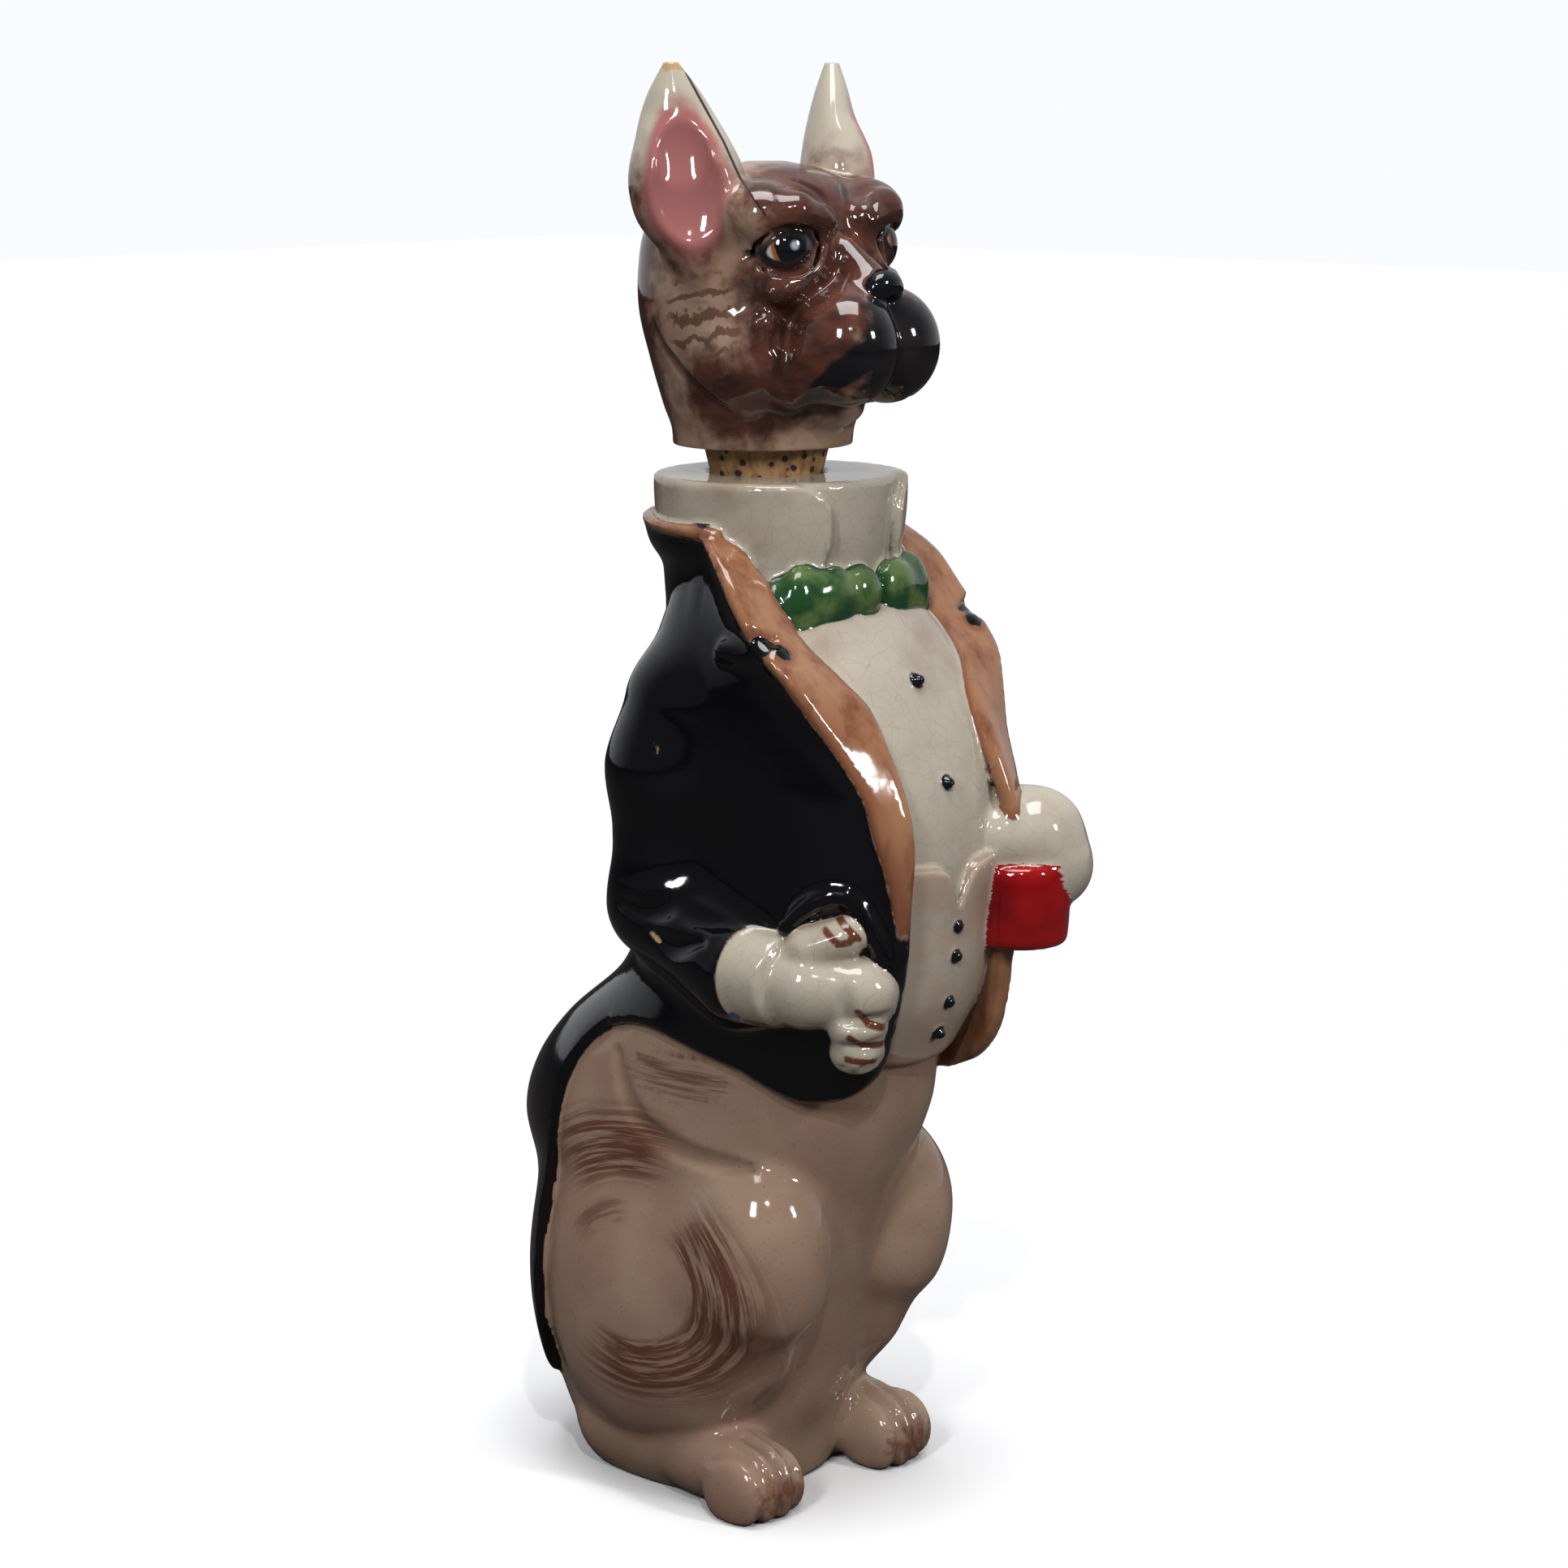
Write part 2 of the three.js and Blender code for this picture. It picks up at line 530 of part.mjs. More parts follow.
function isEven(from, to) {
  const order = to.map((v) => from.indexOf(v));
  let swaps = 0;
  for (let i = 0; i < 4; i++) for (let j = i + 1; j < 4; j++) if (order[i] > order[j]) swaps++;
  return swaps % 2 === 0;
}

// Thinning: edges are collapsed, the flattest first, until a mesh has the wanted number of triangles.
// Each point carries the summed squares of its distance to the planes of the faces around it.
function planeSquares(points, [i, j, k]) {
  const [p, q, r] = [i, j, k].map((v) => new THREE.Vector3().fromArray(points, v * 3));
  const normal = q.clone().sub(p).cross(r.clone().sub(p));
  const weight = normal.length() || 1e-12;
  normal.divideScalar(weight);
  const plane = [normal.x, normal.y, normal.z, -normal.dot(p)];
  return plane.flatMap((u, row) => plane.slice(row).map((v) => u * v * weight));
}

// The summed squares at a point, from the ten terms that planeSquares gives.
function squaresAt([aa, ab, ac, ad, bb, bc, bd, cc, cd, dd], [x, y, z]) {
  const edge = 2 * (ab * x * y + ac * x * z + bc * y * z + ad * x + bd * y + cd * z);
  return aa * x * x + bb * y * y + cc * z * z + dd + edge;
}

// The point where the summed squares are least, or nothing where they are level.
function flattestPlace([aa, ab, ac, ad, bb, bc, bd, cc, cd]) {
  const size = aa * (bb * cc - bc * bc) - ab * (ab * cc - bc * ac) + ac * (ab * bc - bb * ac);
  if (Math.abs(size) < 1e-3 * ((aa + bb + cc) / 3) ** 3) return null;
  return [
    (-ad * (bb * cc - bc * bc) + bd * (ab * cc - ac * bc) - cd * (ab * bc - ac * bb)) / size,
    (ad * (ab * cc - ac * bc) - bd * (aa * cc - ac * ac) + cd * (aa * bc - ab * ac)) / size,
    (-ad * (ab * bc - ac * bb) + bd * (aa * bc - ab * ac) - cd * (aa * bb - ab * ab)) / size,
  ];
}

function thinned({ points, faces }, wanted) {
  const count = points.length / 3;
  const corners = [];
  for (let f = 0; f < faces.length; f += 3) corners.push([faces[f], faces[f + 1], faces[f + 2]]);
  const around = Array.from({ length: count }, () => new Set());
  const squares = Array.from({ length: count }, () => new Array(10).fill(0));
  corners.forEach((face, f) => {
    const terms = planeSquares(points, face);
    for (const v of face) {
      around[v].add(f);
      terms.forEach((term, i) => (squares[v][i] += term));
    }
  });
  const version = new Uint32Array(count);
  const at = (v) => [points[v * 3], points[v * 3 + 1], points[v * 3 + 2]];
  const neighbours = (v) => new Set([...around[v]].flatMap((f) => corners[f]).filter((w) => w !== v));
  const queue = new Queue();
  const offer = (v, w) => {
    const terms = squares[v].map((term, i) => term + squares[w][i]);
    const [p, q] = [at(v), at(w)];
    const middle = p.map((value, i) => (value + q[i]) / 2);
    const length = Math.hypot(...p.map((value, i) => value - q[i]));
    let place = flattestPlace(terms) || middle;
    if (Math.hypot(...place.map((value, i) => value - middle[i])) > length) place = middle;
    const cost = squaresAt(terms, place) + 1e-5 * length ** 4;
    queue.push({ cost, v, w, place, stamp: version[v] + version[w] });
  };
  corners.forEach(([a, b, c]) => [[a, b], [b, c], [c, a]].forEach(([v, w]) => v < w && offer(v, w)));
  let left = corners.length;
  while (left > wanted && queue.size()) {
    const { v, w, place, stamp } = queue.pop();
    if (!around[v].size || !around[w].size || stamp !== version[v] + version[w]) continue;
    const shared = [...around[v]].filter((f) => around[w].has(f));
    const [byV, byW] = [neighbours(v), neighbours(w)];
    if (shared.length !== 2 || [...byV].filter((u) => byW.has(u)).length !== 2) continue;
    const moved = [...around[v], ...around[w]].filter((f) => !shared.includes(f));
    if (moved.some((f) => turnsOver(points, corners[f], v, w, place))) continue;
    for (const f of shared) {
      for (const u of corners[f]) around[u].delete(f);
      corners[f] = null;
    }
    for (const f of around[w]) {
      corners[f] = corners[f].map((u) => (u === w ? v : u));
      around[v].add(f);
    }
    around[w].clear();
    place.forEach((value, i) => (points[v * 3 + i] = value));
    squares[v] = squares[v].map((term, i) => term + squares[w][i]);
    version[v] = Math.max(version[v], version[w]) + 1;
    version[w] = version[v];
    left -= 2;
    for (const u of neighbours(v)) offer(Math.min(u, v), Math.max(u, v));
  }
  return packed(points, corners.filter(Boolean));
}

// Whether a face would turn away from its own side, or become a sliver, when v and w both move to a place.
function turnsOver(points, face, v, w, place) {
  const before = face.map((u) => new THREE.Vector3().fromArray(points, u * 3));
  const after = face.map((u, i) => (u === v || u === w ? new THREE.Vector3(...place) : before[i]));
  const [old, now] = [before, after].map(([p, q, r]) => q.clone().sub(p).cross(r.clone().sub(p)));
  const fullness = (corners, normal) =>
    normal.length() / Math.max(...corners.map((p, i) => p.distanceToSquared(corners[(i + 1) % 3])));
  const thin = fullness(after, now);
  return old.dot(now) < 0 || (thin < 0.02 && thin < fullness(before, old));
}

// Only the points that the faces use, numbered anew.
function packed(points, corners) {
  const used = new Map();
  const kept = [];
  const faces = corners.flat().map((v) => {
    if (!used.has(v)) {
      used.set(v, kept.length / 3);
      kept.push(points[v * 3], points[v * 3 + 1], points[v * 3 + 2]);
    }
    return used.get(v);
  });
  return { points: kept, faces };
}

// The cheapest first.
class Queue {
  items = [];
  size() {
    return this.items.length;
  }
  push(item) {
    const { items } = this;
    let i = items.push(item) - 1;
    while (i > 0) {
      const parent = (i - 1) >> 1;
      if (items[parent].cost <= item.cost) break;
      items[i] = items[parent];
      i = parent;
    }
    items[i] = item;
  }
  pop() {
    const { items } = this;
    const first = items[0];
    const last = items.pop();
    if (!items.length) return first;
    let i = 0;
    for (let child = 1; child < items.length; child = 2 * i + 1) {
      if (child + 1 < items.length && items[child + 1].cost < items[child].cost) child++;
      if (last.cost <= items[child].cost) break;
      items[i] = items[child];
      i = child;
    }
    items[i] = last;
    return first;
  }
}

// Solids
const wasm = await Module();
wasm.setup();

function solidOf({ points, faces }, unit = 1, lift = 0) {
  const vertProperties = new Float32Array(points.map((v, i) => v * unit + (i % 3 === 2 ? lift : 0)));
  return new wasm.Manifold(new wasm.Mesh({ numProp: 3, vertProperties, triVerts: new Uint32Array(faces) }));
}

// A three.js shape as a solid, with its shared points merged.
function solidFrom(geometry) {
  geometry.deleteAttribute('normal');
  geometry.deleteAttribute('uv');
  const whole = mergeVertices(geometry);
  return solidOf({ points: [...whole.attributes.position.array], faces: [...whole.index.array] });
}

// A turned piece on the bottle's axis, from [radius, height] points.
function turning(profile, sides) {
  const outline = profile.map(([r, z]) => new THREE.Vector2(r, z));
  return solidFrom(new THREE.LatheGeometry(outline, sides).rotateX(Math.PI / 2));
}

// The form's outer shell as a solid: any pocket that the forms close off between them is filled.
function sculpted(form, box, step, triangles, unit, lift) {
  const whole = solidOf(thinned(surfaceOf(form, box, step), triangles), unit, lift);
  return whole.decompose().reduce((most, shell) => (shell.volume() > most.volume() ? shell : most));
}

function pieceMesh(name, solid, material) {
  const { vertProperties, triVerts } = solid.getMesh();
  const geometry = new THREE.BufferGeometry();
  geometry.setAttribute('position', new THREE.BufferAttribute(vertProperties, 3));
  geometry.setIndex(new THREE.BufferAttribute(triVerts, 1));
  geometry.computeVertexNormals();
  const piece = new THREE.Mesh(geometry, new THREE.MeshStandardMaterial(material));
  piece.name = name;
  return piece;
}

const roundSides = 40;
const boreRadius = mouthDiameter / 2;
const corkRimRadius = boreRadius - glueGap;
const corkTopRadius = corkRimRadius + corkFlare / 2;
const corkFootRadius = corkRimRadius - corkTaper / 2;
const neckEdge = bodyHeight + corkShowing; // the underside of the head

// Bottle: the figure, hollow to its neck. The hollow follows the trunk, one wall inside it. The grids reach
// past the forms on every side, and past the floor and the rim, where the solids are then cut off.
const wallShare = wall / bodyUnit;
const hollowTop = 88;
const hollowForm = (x, y, z) => Math.max(trunk(x, y, z) + wallShare, wallShare - z, z - hollowTop);
const figureGrid = [[-24.3, -34.4, -5.4], [24, 34, 104]];
const hollowGrid = [[-18.3, -26.4, -1.7], [18, 30, 93]];
const headGrid = [[-52.3, -56.4, -6.6], [52, 42, 106]];
const figure = sculpted(figureForm, figureGrid, 1, figureTriangles, bodyUnit, 0);
const hollow = sculpted(hollowForm, hollowGrid, 2.1, hollowTriangles, bodyUnit, 0);
const cutWidth = bodyHeight;
const cutHeight = 0.2 * bodyHeight;
const overlap = 0.05 * bodyHeight;
const cutBox = (bottom) =>
  solidFrom(new THREE.BoxGeometry(cutWidth, cutWidth, cutHeight).translate(0, 0, bottom + cutHeight / 2));
const boreFoot = (hollowTop - 4) * bodyUnit;
const bore = turning(
  [[0, boreFoot], [boreRadius, boreFoot], [boreRadius, bodyHeight + overlap], [0, bodyHeight + overlap]],
  roundSides,
);
const casting = figure.subtract(cutBox(-cutHeight)).subtract(cutBox(bodyHeight));
const bottle = casting.subtract(hollow).subtract(bore);

// Head: solid, with a socket for the cork in its underside.
const headClosed = (x, y, z) => Math.max(headForm(x, y, z), -3 - z);
const socketRadius = corkTopRadius + glueGap;
const socketTop = neckEdge + corkInHead + glueGap;
const socket = turning(
  [[0, neckEdge - overlap], [socketRadius, neckEdge - overlap], [socketRadius, socketTop], [0, socketTop]],
  roundSides,
);
const headSolid = sculpted(headClosed, headGrid, 1.6, headTriangles, headUnit, neckEdge);
const head = headSolid.subtract(cutBox(neckEdge - cutHeight)).subtract(socket);

const cork = turning(
  [
    [0, bodyHeight - corkInBottle],
    [corkFootRadius, bodyHeight - corkInBottle],
    [corkRimRadius, bodyHeight],
    [corkTopRadius, neckEdge],
    [corkTopRadius, neckEdge + corkInHead],
    [0, neckEdge + corkInHead],
  ],
  roundSides - 8,
);

const group = new THREE.Group();
group.add(pieceMesh('bottle', bottle, { color: 0x6b5448, roughness: 0.15, metalness: 0 }));
group.add(pieceMesh('head', head, { color: 0x5a3c30, roughness: 0.15, metalness: 0 }));
group.add(pieceMesh('cork', cork, { color: 0x8a6138, roughness: 0.9, metalness: 0 }));

export default group;
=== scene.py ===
# Figural decanter: a seated bulldog in a tail coat, cast in earthenware and glazed. Its head is the stopper.
# Blender works in metres. The figure is sculpted in hundredths of its own height, and the head in hundredths
# of its height, each with x to its left, y to its back and z up, then both are meshed and set in the frame.
import math
import bpy
import numpy as np
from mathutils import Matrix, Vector


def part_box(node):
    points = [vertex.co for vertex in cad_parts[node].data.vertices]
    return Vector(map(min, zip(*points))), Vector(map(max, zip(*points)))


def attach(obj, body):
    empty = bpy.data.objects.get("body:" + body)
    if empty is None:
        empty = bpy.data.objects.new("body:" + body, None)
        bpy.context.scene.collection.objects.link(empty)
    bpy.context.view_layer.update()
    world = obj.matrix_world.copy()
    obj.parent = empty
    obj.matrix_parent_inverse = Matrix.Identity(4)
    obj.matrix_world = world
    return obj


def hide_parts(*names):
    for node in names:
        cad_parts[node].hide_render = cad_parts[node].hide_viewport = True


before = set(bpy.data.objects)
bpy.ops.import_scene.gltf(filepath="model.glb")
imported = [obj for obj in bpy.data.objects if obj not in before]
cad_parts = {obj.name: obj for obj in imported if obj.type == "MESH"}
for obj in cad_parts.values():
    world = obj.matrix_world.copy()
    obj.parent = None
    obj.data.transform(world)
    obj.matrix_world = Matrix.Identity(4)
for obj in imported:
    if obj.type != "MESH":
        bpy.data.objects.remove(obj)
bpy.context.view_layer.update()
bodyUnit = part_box("bottle")[1].z / 100
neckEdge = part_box("head")[0].z
earTips = 98  # the height of the ear tips in the head's own units
headUnit = (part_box("head")[1].z - neckEdge) / earTips
print("frame loaded: units", bodyUnit, headUnit, "neck", neckEdge)


# Forms: functions of x, y and z arrays that give the distance from a surface, below zero inside.

def ball(centre, radii):
    (cx, cy, cz), (rx, ry, rz) = centre, radii
    def form(x, y, z):
        a, b, c = (x - cx) / rx, (y - cy) / ry, (z - cz) / rz
        near = np.sqrt(a * a + b * b + c * c + 1e-9)
        slope = np.sqrt((a / rx) ** 2 + (b / ry) ** 2 + (c / rz) ** 2 + 1e-12)
        return near * (near - 1) / slope
    return form


def limb(start, end, startRadius, endRadius=None):
    endRadius = startRadius if endRadius is None else endRadius
    ax, ay, az = [e - s for s, e in zip(start, end)]
    square = ax * ax + ay * ay + az * az
    def form(x, y, z):
        a, b, c = x - start[0], y - start[1], z - start[2]
        along = np.clip((a * ax + b * ay + c * az) / square, 0, 1)
        off = np.sqrt((a - ax * along) ** 2 + (b - ay * along) ** 2 + (c - az * along) ** 2)
        return off - startRadius - (endRadius - startRadius) * along
    return form


def curve(rows):  # a smooth curve through rows of [place, value, ...], level beyond its ends
    rows = np.array(rows, float)
    places = rows[:, 0]
    before, after = rows[[0, *range(len(rows) - 1)]], rows[[*range(1, len(rows)), -1]]
    slopes = (after - before) / (after[:, :1] - before[:, :1])
    def at(place):
        i = np.clip(np.searchsorted(places, place) - 1, 0, len(rows) - 2)
        span = places[i + 1] - places[i]
        t = np.clip((place - places[i]) / span, 0, 1)
        a, b = (1 + 2 * t) * (1 - t) ** 2, t * (1 - t) ** 2 * span
        c, d = t * t * (3 - 2 * t), t * t * (t - 1) * span
        return [a * rows[i, k] + b * slopes[i, k] + c * rows[i + 1, k] + d * slopes[i + 1, k]
                for k in range(1, rows.shape[1])]
    return at


def strand(rows, steps=10):  # a round cord along a smooth line, from rows of [x, y, z, radius]
    line = curve([[i, *row] for i, row in enumerate(rows)])
    points = np.array(line(np.linspace(0, len(rows) - 1, steps + 1))).T
    pieces = [limb(a[:3], b[:3], a[3], b[3]) for a, b in zip(points, points[1:])]
    return lambda x, y, z: np.minimum.reduce([piece(x, y, z) for piece in pieces])


# Rounded sections, from rows of [height, middle x, middle y, half width, half depth, squareness].
def column(rows):
    section, low, high = curve(rows), rows[0][0], rows[-1][0]
    def form(x, y, z):
        cx, cy, halfWidth, halfDepth, power = section(z)
        a, b = abs(x - cx) / halfWidth + 1e-6, abs(y - cy) / halfDepth + 1e-6
        ap, bp = a ** power, b ** power
        near = (ap + bp) ** (1 / power)
        slope = near ** (1 - power) * np.sqrt((ap / a / halfWidth) ** 2 + (bp / b / halfDepth) ** 2)
        return np.maximum((near - 1) / slope, np.maximum(low - z, z - high))
    return form


# A sheet on edge, from rows of [height, x and y of one end, x and y of the other, half thickness].
def sheet(rows):
    plan, low, high = curve(rows), rows[0][0], rows[-1][0]
    def form(x, y, z):
        x0, y0, x1, y1, thick = plan(z)
        ax, ay = x1 - x0, y1 - y0
        along = np.clip(((x - x0) * ax + (y - y0) * ay) / (ax * ax + ay * ay), 0, 1)
        side = np.sqrt((x - x0 - ax * along) ** 2 + (y - y0 - ay * along) ** 2) - thick
        return np.maximum(side, np.maximum(low - z, z - high))
    return form


def turnedAbout(form, centre, degrees):  # about an upright line
    (cx, cy), c, s = centre, math.cos(math.radians(degrees)), math.sin(math.radians(degrees))
    return lambda x, y, z: form(cx + c * (x - cx) + s * (y - cy), cy - s * (x - cx) + c * (y - cy), z)


def bothSides(form):
    return lambda x, y, z: form(abs(x), y, z)


def soft(a, b, fillet):
    h = np.maximum(fillet - abs(a - b), 0) / fillet
    return np.minimum(a, b) - h * h * fillet / 4


def joined(fillet, *forms):
    def form(x, y, z):
        d = forms[0](x, y, z)
        for other in forms[1:]:
            d = soft(d, other(x, y, z), fillet)
        return d
    return form


def carved(fillet, whole, *cuts):
    def form(x, y, z):
        d = whole(x, y, z)
        for cut in cuts:
            d = -soft(-d, cut(x, y, z), fillet)
        return d
    return form


def grooved(depth, form, *lines):  # with grooves where the surface passes near the lines
    def grooves(x, y, z):
        near = np.minimum.reduce([line(x, y, z) for line in lines])
        return form(x, y, z) + depth * np.clip(0.6 - near / depth, 0, 1)
    return grooves


def layer(form, thickness, edge, fillet=0.8):  # cloth over a form, where the edge distance is below zero
    return lambda x, y, z: -soft(thickness - form(x, y, z), -edge(x, y, z), fillet)


# Meshing: a net of four-sided faces over the cells that the surface passes through, then drawn onto it.

def sampled(form, axes):  # the form on a grid, worked out in full only near its surface
    everyOther = [a[::2] for a in axes]
    coarse = form(*np.meshgrid(*everyOther, indexing="ij", sparse=True)).astype(np.float32)
    fine = coarse.repeat(2, 0).repeat(2, 1).repeat(2, 2)[:len(axes[0]), :len(axes[1]), :len(axes[2])]
    step = axes[0][1] - axes[0][0]
    at = np.nonzero(abs(fine) < 5.5 * step)
    fine[at] = form(*[a[i] for a, i in zip(axes, at)])
    return fine


def netOf(form, low, high, step):
    axes = [np.arange(a, b + step, step) for a, b in zip(low, high)]
    axes = [a if len(a) % 2 == 0 else a[:-1] for a in axes]
    d = sampled(form, axes)
    inside = d < 0
    corners = [(i, j, k) for i in (0, 1) for j in (0, 1) for k in (0, 1)]
    count = [n - 1 for n in d.shape]
    held = sum(inside[i:i + count[0], j:j + count[1], k:k + count[2]].astype(np.int8) for i, j, k in corners)
    cells = np.array(np.nonzero((held > 0) & (held < 8)))
    values = {c: d[tuple(cells + np.array(c)[:, None])] for c in corners}
    total, crossings = np.zeros((3, cells.shape[1])), np.zeros(cells.shape[1])
    for a in corners:
        for axis in range(3):
            if a[axis]:
                continue
            b = tuple(v + (i == axis) for i, v in enumerate(a))
            crossing = (values[a] < 0) != (values[b] < 0)
            share = np.where(crossing, values[a] / np.where(crossing, values[a] - values[b], 1), 0)
            for i in range(3):
                total[i] += crossing * (a[i] + (share if i == axis else 0))
            crossings += crossing
    points = (cells + total / crossings) * step + np.array([a[0] for a in axes])[:, None]
    number = np.full(count, -1, np.int32)
    number[tuple(cells)] = np.arange(cells.shape[1])
    faces = []
    for axis in range(3):
        u, v = (axis + 1) % 3, (axis + 2) % 3
        lower, upper = [slice(None)] * 3, [slice(None)] * 3
        lower[axis], upper[axis] = slice(None, -1), slice(1, None)
        a, b = inside[tuple(lower)], inside[tuple(upper)]
        edge = np.array(np.nonzero(a != b))
        edge = edge[:, (edge[u] > 0) & (edge[v] > 0) & (edge[u] < count[u]) & (edge[v] < count[v])]
        leaves = a[tuple(edge)]
        ring = []
        for du, dv in ((1, 1), (0, 1), (0, 0), (1, 0)):
            cell = edge.copy()
            cell[u] -= du
            cell[v] -= dv
            ring.append(number[tuple(cell)])
        ring = np.array(ring).T
        faces.append(np.where(leaves[:, None], ring, ring[:, ::-1]))
    return drawnOnto(form, points, step), np.concatenate(faces)


def drawnOnto(form, points, step, rounds=2):  # moves the points onto the surface, along its slope
    reach = step * 0.2
    for _ in range(rounds):
        d = form(*points)
        slope = []
        for axis in range(3):
            aside = points.copy()
            aside[axis] += reach
            slope.append((form(*aside) - d) / reach)
        square = sum(s * s for s in slope) + 1e-6
        move = np.clip(d / np.sqrt(square), -step * 0.6, step * 0.6)
        points = points - np.array(slope) / np.sqrt(square) * move
    return points


def meshPiece(name, points, faces, unit, lift, paint):  # an object whose points carry the paint's distances
    mesh = bpy.data.meshes.new(name)
    mesh.vertices.add(points.shape[1])
    place = points.T * unit + [0, 0, lift]
    mesh.vertices.foreach_set("co", place.astype(np.float32).ravel())
    mesh.loops.add(faces.size)
    mesh.loops.foreach_set("vertex_index", faces.astype(np.int32).ravel())
    mesh.polygons.add(len(faces))
    mesh.polygons.foreach_set("loop_start", np.arange(0, faces.size, 4, dtype=np.int32))
    mesh.update(calc_edges=True)
    mesh.polygons.foreach_set("use_smooth", np.ones(len(faces), bool))
    for label, values in paint.items():
        values = np.asarray(values, np.float32)
        kind, field = ("FLOAT", "value") if values.ndim == 1 else ("FLOAT_VECTOR", "vector")
        mesh.attributes.new(label, kind, "POINT").data.foreach_set(field, values.T.ravel())
    mesh.validate()
    piece = bpy.data.objects.new(name, mesh)
    bpy.context.scene.collection.objects.link(piece)
    print(name, "has", 2 * len(faces), "triangles")
    return piece


# Figure, in hundredths of the height from the floor to the collar's rim

figureSizes = {
    "step": 0.47,  # the net's cell
    "coatThickness": 1.1,
    "boreRadius": 5.54,
    "boreFloor": 86,
    "buttonRadius": 0.62,
    "shirtButtons": [81.9, 72.7],
    "waistcoatButtons": [59.3, 56.4, 51.9, 48.7],
}

trunk = column([
    [-2, 0, 7.5, 9.5, 10.5, 2.3],
    [0, 0, 7.5, 10.5, 12, 2.3],
    [5, 0, 8.5, 12, 14.3, 2.2],
    [10, 0, 8.6, 13.4, 16.4, 2],
    [20, 0, 7.2, 15, 17.4, 2],
    [30, 0, 6, 15, 19.4, 2],
    [35, 0, 5.8, 15, 21.5, 2],
    [40, 0, 4, 14.8, 21.8, 2],
    [45, 0, 1.4, 14.6, 20.1, 2],
    [52, 0, -4.6, 14, 17.2, 2.2],
    [60, 0, -7, 13.5, 15.9, 2.4],
    [66, 0, -7.4, 13.5, 16, 2.6],
    [73, 0, -7, 14, 15.2, 2.8],
    [82, 0, -5.6, 13.9, 12.8, 2.8],
    [86, 0, -4.8, 12.6, 10.6, 2.6],
    [90, 0, -2.8, 10.6, 8.6, 2.2],
    [95, 0, -1.7, 9.8, 9, 2],
    [98, 0, -1.7, 9.8, 9, 2],
])

haunch = ball([10.3, 6.4, 20.3], [6.6, 13, 15.6])
haunches = bothSides(haunch)
knee = joined(
    3,
    ball([9.1, -6.6, 27.2], [6.6, 7.9, 9.4]),
    limb([9, -6.4, 22], [8.2, -4.2, 16], 5.9, 4.4),
    limb([8.2, -4.2, 16], [7.9, -0.4, 9.5], 4.4, 4),
)
foot = joined(
    1.5,
    limb([7.8, 12.5, 4.4], [8.4, 0, 4.4], 4.4, 4.2),
    limb([8.4, 0, 4.4], [9.8, -7.6, 3.6], 4.4, 3.7),
)
toeSpread = [7, 8.9, 10.9, 12.7]
toes = joined(0.35, *[
    ball([x, -7.9 + 0.6 * abs(i - 1.2), 2.9], [1.35, 3.7, 3.5]) for i, x in enumerate(toeSpread)
])
legs = bothSides(joined(0.9, joined(3, haunch, knee), joined(0.7, foot, toes)))
rumpFold = bothSides(strand([
    [14.2, 6.6, 44.6, 0.2], [15, 5.1, 41.1, 0.7], [15.2, 2, 37.8, 0.9], [13.9, -3.6, 35.9, 0.8],
    [11.4, -8.6, 35.4, 0.2],
]))
hipFold = bothSides(strand([[14.6, 3.5, 48, 0.1], [15.3, 5.4, 44, 0.6], [15.4, 4.4, 40, 0.4]]))
heelFold = bothSides(strand([
    [15.5, 16, 14, 0.1], [14.4, 17, 9, 0.7], [13.6, 14, 5.6, 0.6], [14.6, 10, 6.4, 0.1],
]))
toeGrooves = bothSides(joined(0.1, *[
    strand([[x, -6, 7.4, 0.2], [x, -9.6, 6.2, 0.5], [x, -11.4, 3.4, 0.55], [x, -11, 0.8, 0.4]])
    for x in [(a + b) / 2 for a, b in zip(toeSpread, toeSpread[1:])]
]))
body = grooved(0.9, joined(1.4, trunk, legs), rumpFold, hipFold, heelFold, toeGrooves)

rightArm = joined(
    2.5,
    limb([-11.8, 0, 79.2], [-12.4, 1, 73], 5.4, 5.6),
    limb([-12.4, 1, 73], [-12.2, 1.6, 60], 5.6, 5.2),
    limb([-12.2, 1.6, 60], [-13.8, -9.6, 55.3], 5.3, 5.1),
)
leftArm = joined(
    2.5,
    limb([11.8, 0, 79.2], [12.4, 1, 73], 5.4, 5.6),
    limb([12.4, 1, 73], [12.4, 1.8, 63], 5.6, 5.3),
    limb([12.4, 1.8, 63], [12.8, -12, 65.5], 5.2, 4.8),
)
elbowFolds = joined(
    0.3,
    strand([
        [-17.6, -3.4, 64.5, 0.1], [-17.8, -3.8, 61.8, 0.9], [-18, -1, 60.4, 0.8], [-17.8, 2.2, 60.8, 0.1],
    ]),
    strand([[-17.8, -3.8, 61.8, 0.8], [-17.4, -7.6, 60.6, 0.9], [-16.4, -11.5, 60.8, 0.1]]),
    strand([[-18, -1.5, 58.5, 0.1], [-18.4, -4.5, 57.6, 0.8], [-17.8, -8, 58.4, 0.1]]),
)
thumbRidge = strand([  # the coat's cloth, drawn up over the thumb
    [-14.6, -15.2, 60.4, 0.7], [-13, -17.4, 62.8, 0.9], [-11.2, -19.9, 63.4, 1], [-10.2, -21.6, 60.9, 0.9],
    [-9.4, -22.6, 57.6, 0.8], [-9, -23, 54.6, 0.4],
])
sleeveEnd = lambda x, y, z: y + 12.3 + 0.35 * (x + 14)
sleeves = joined(0.8, carved(0.5, grooved(1, rightArm, elbowFolds), sleeveEnd), leftArm)
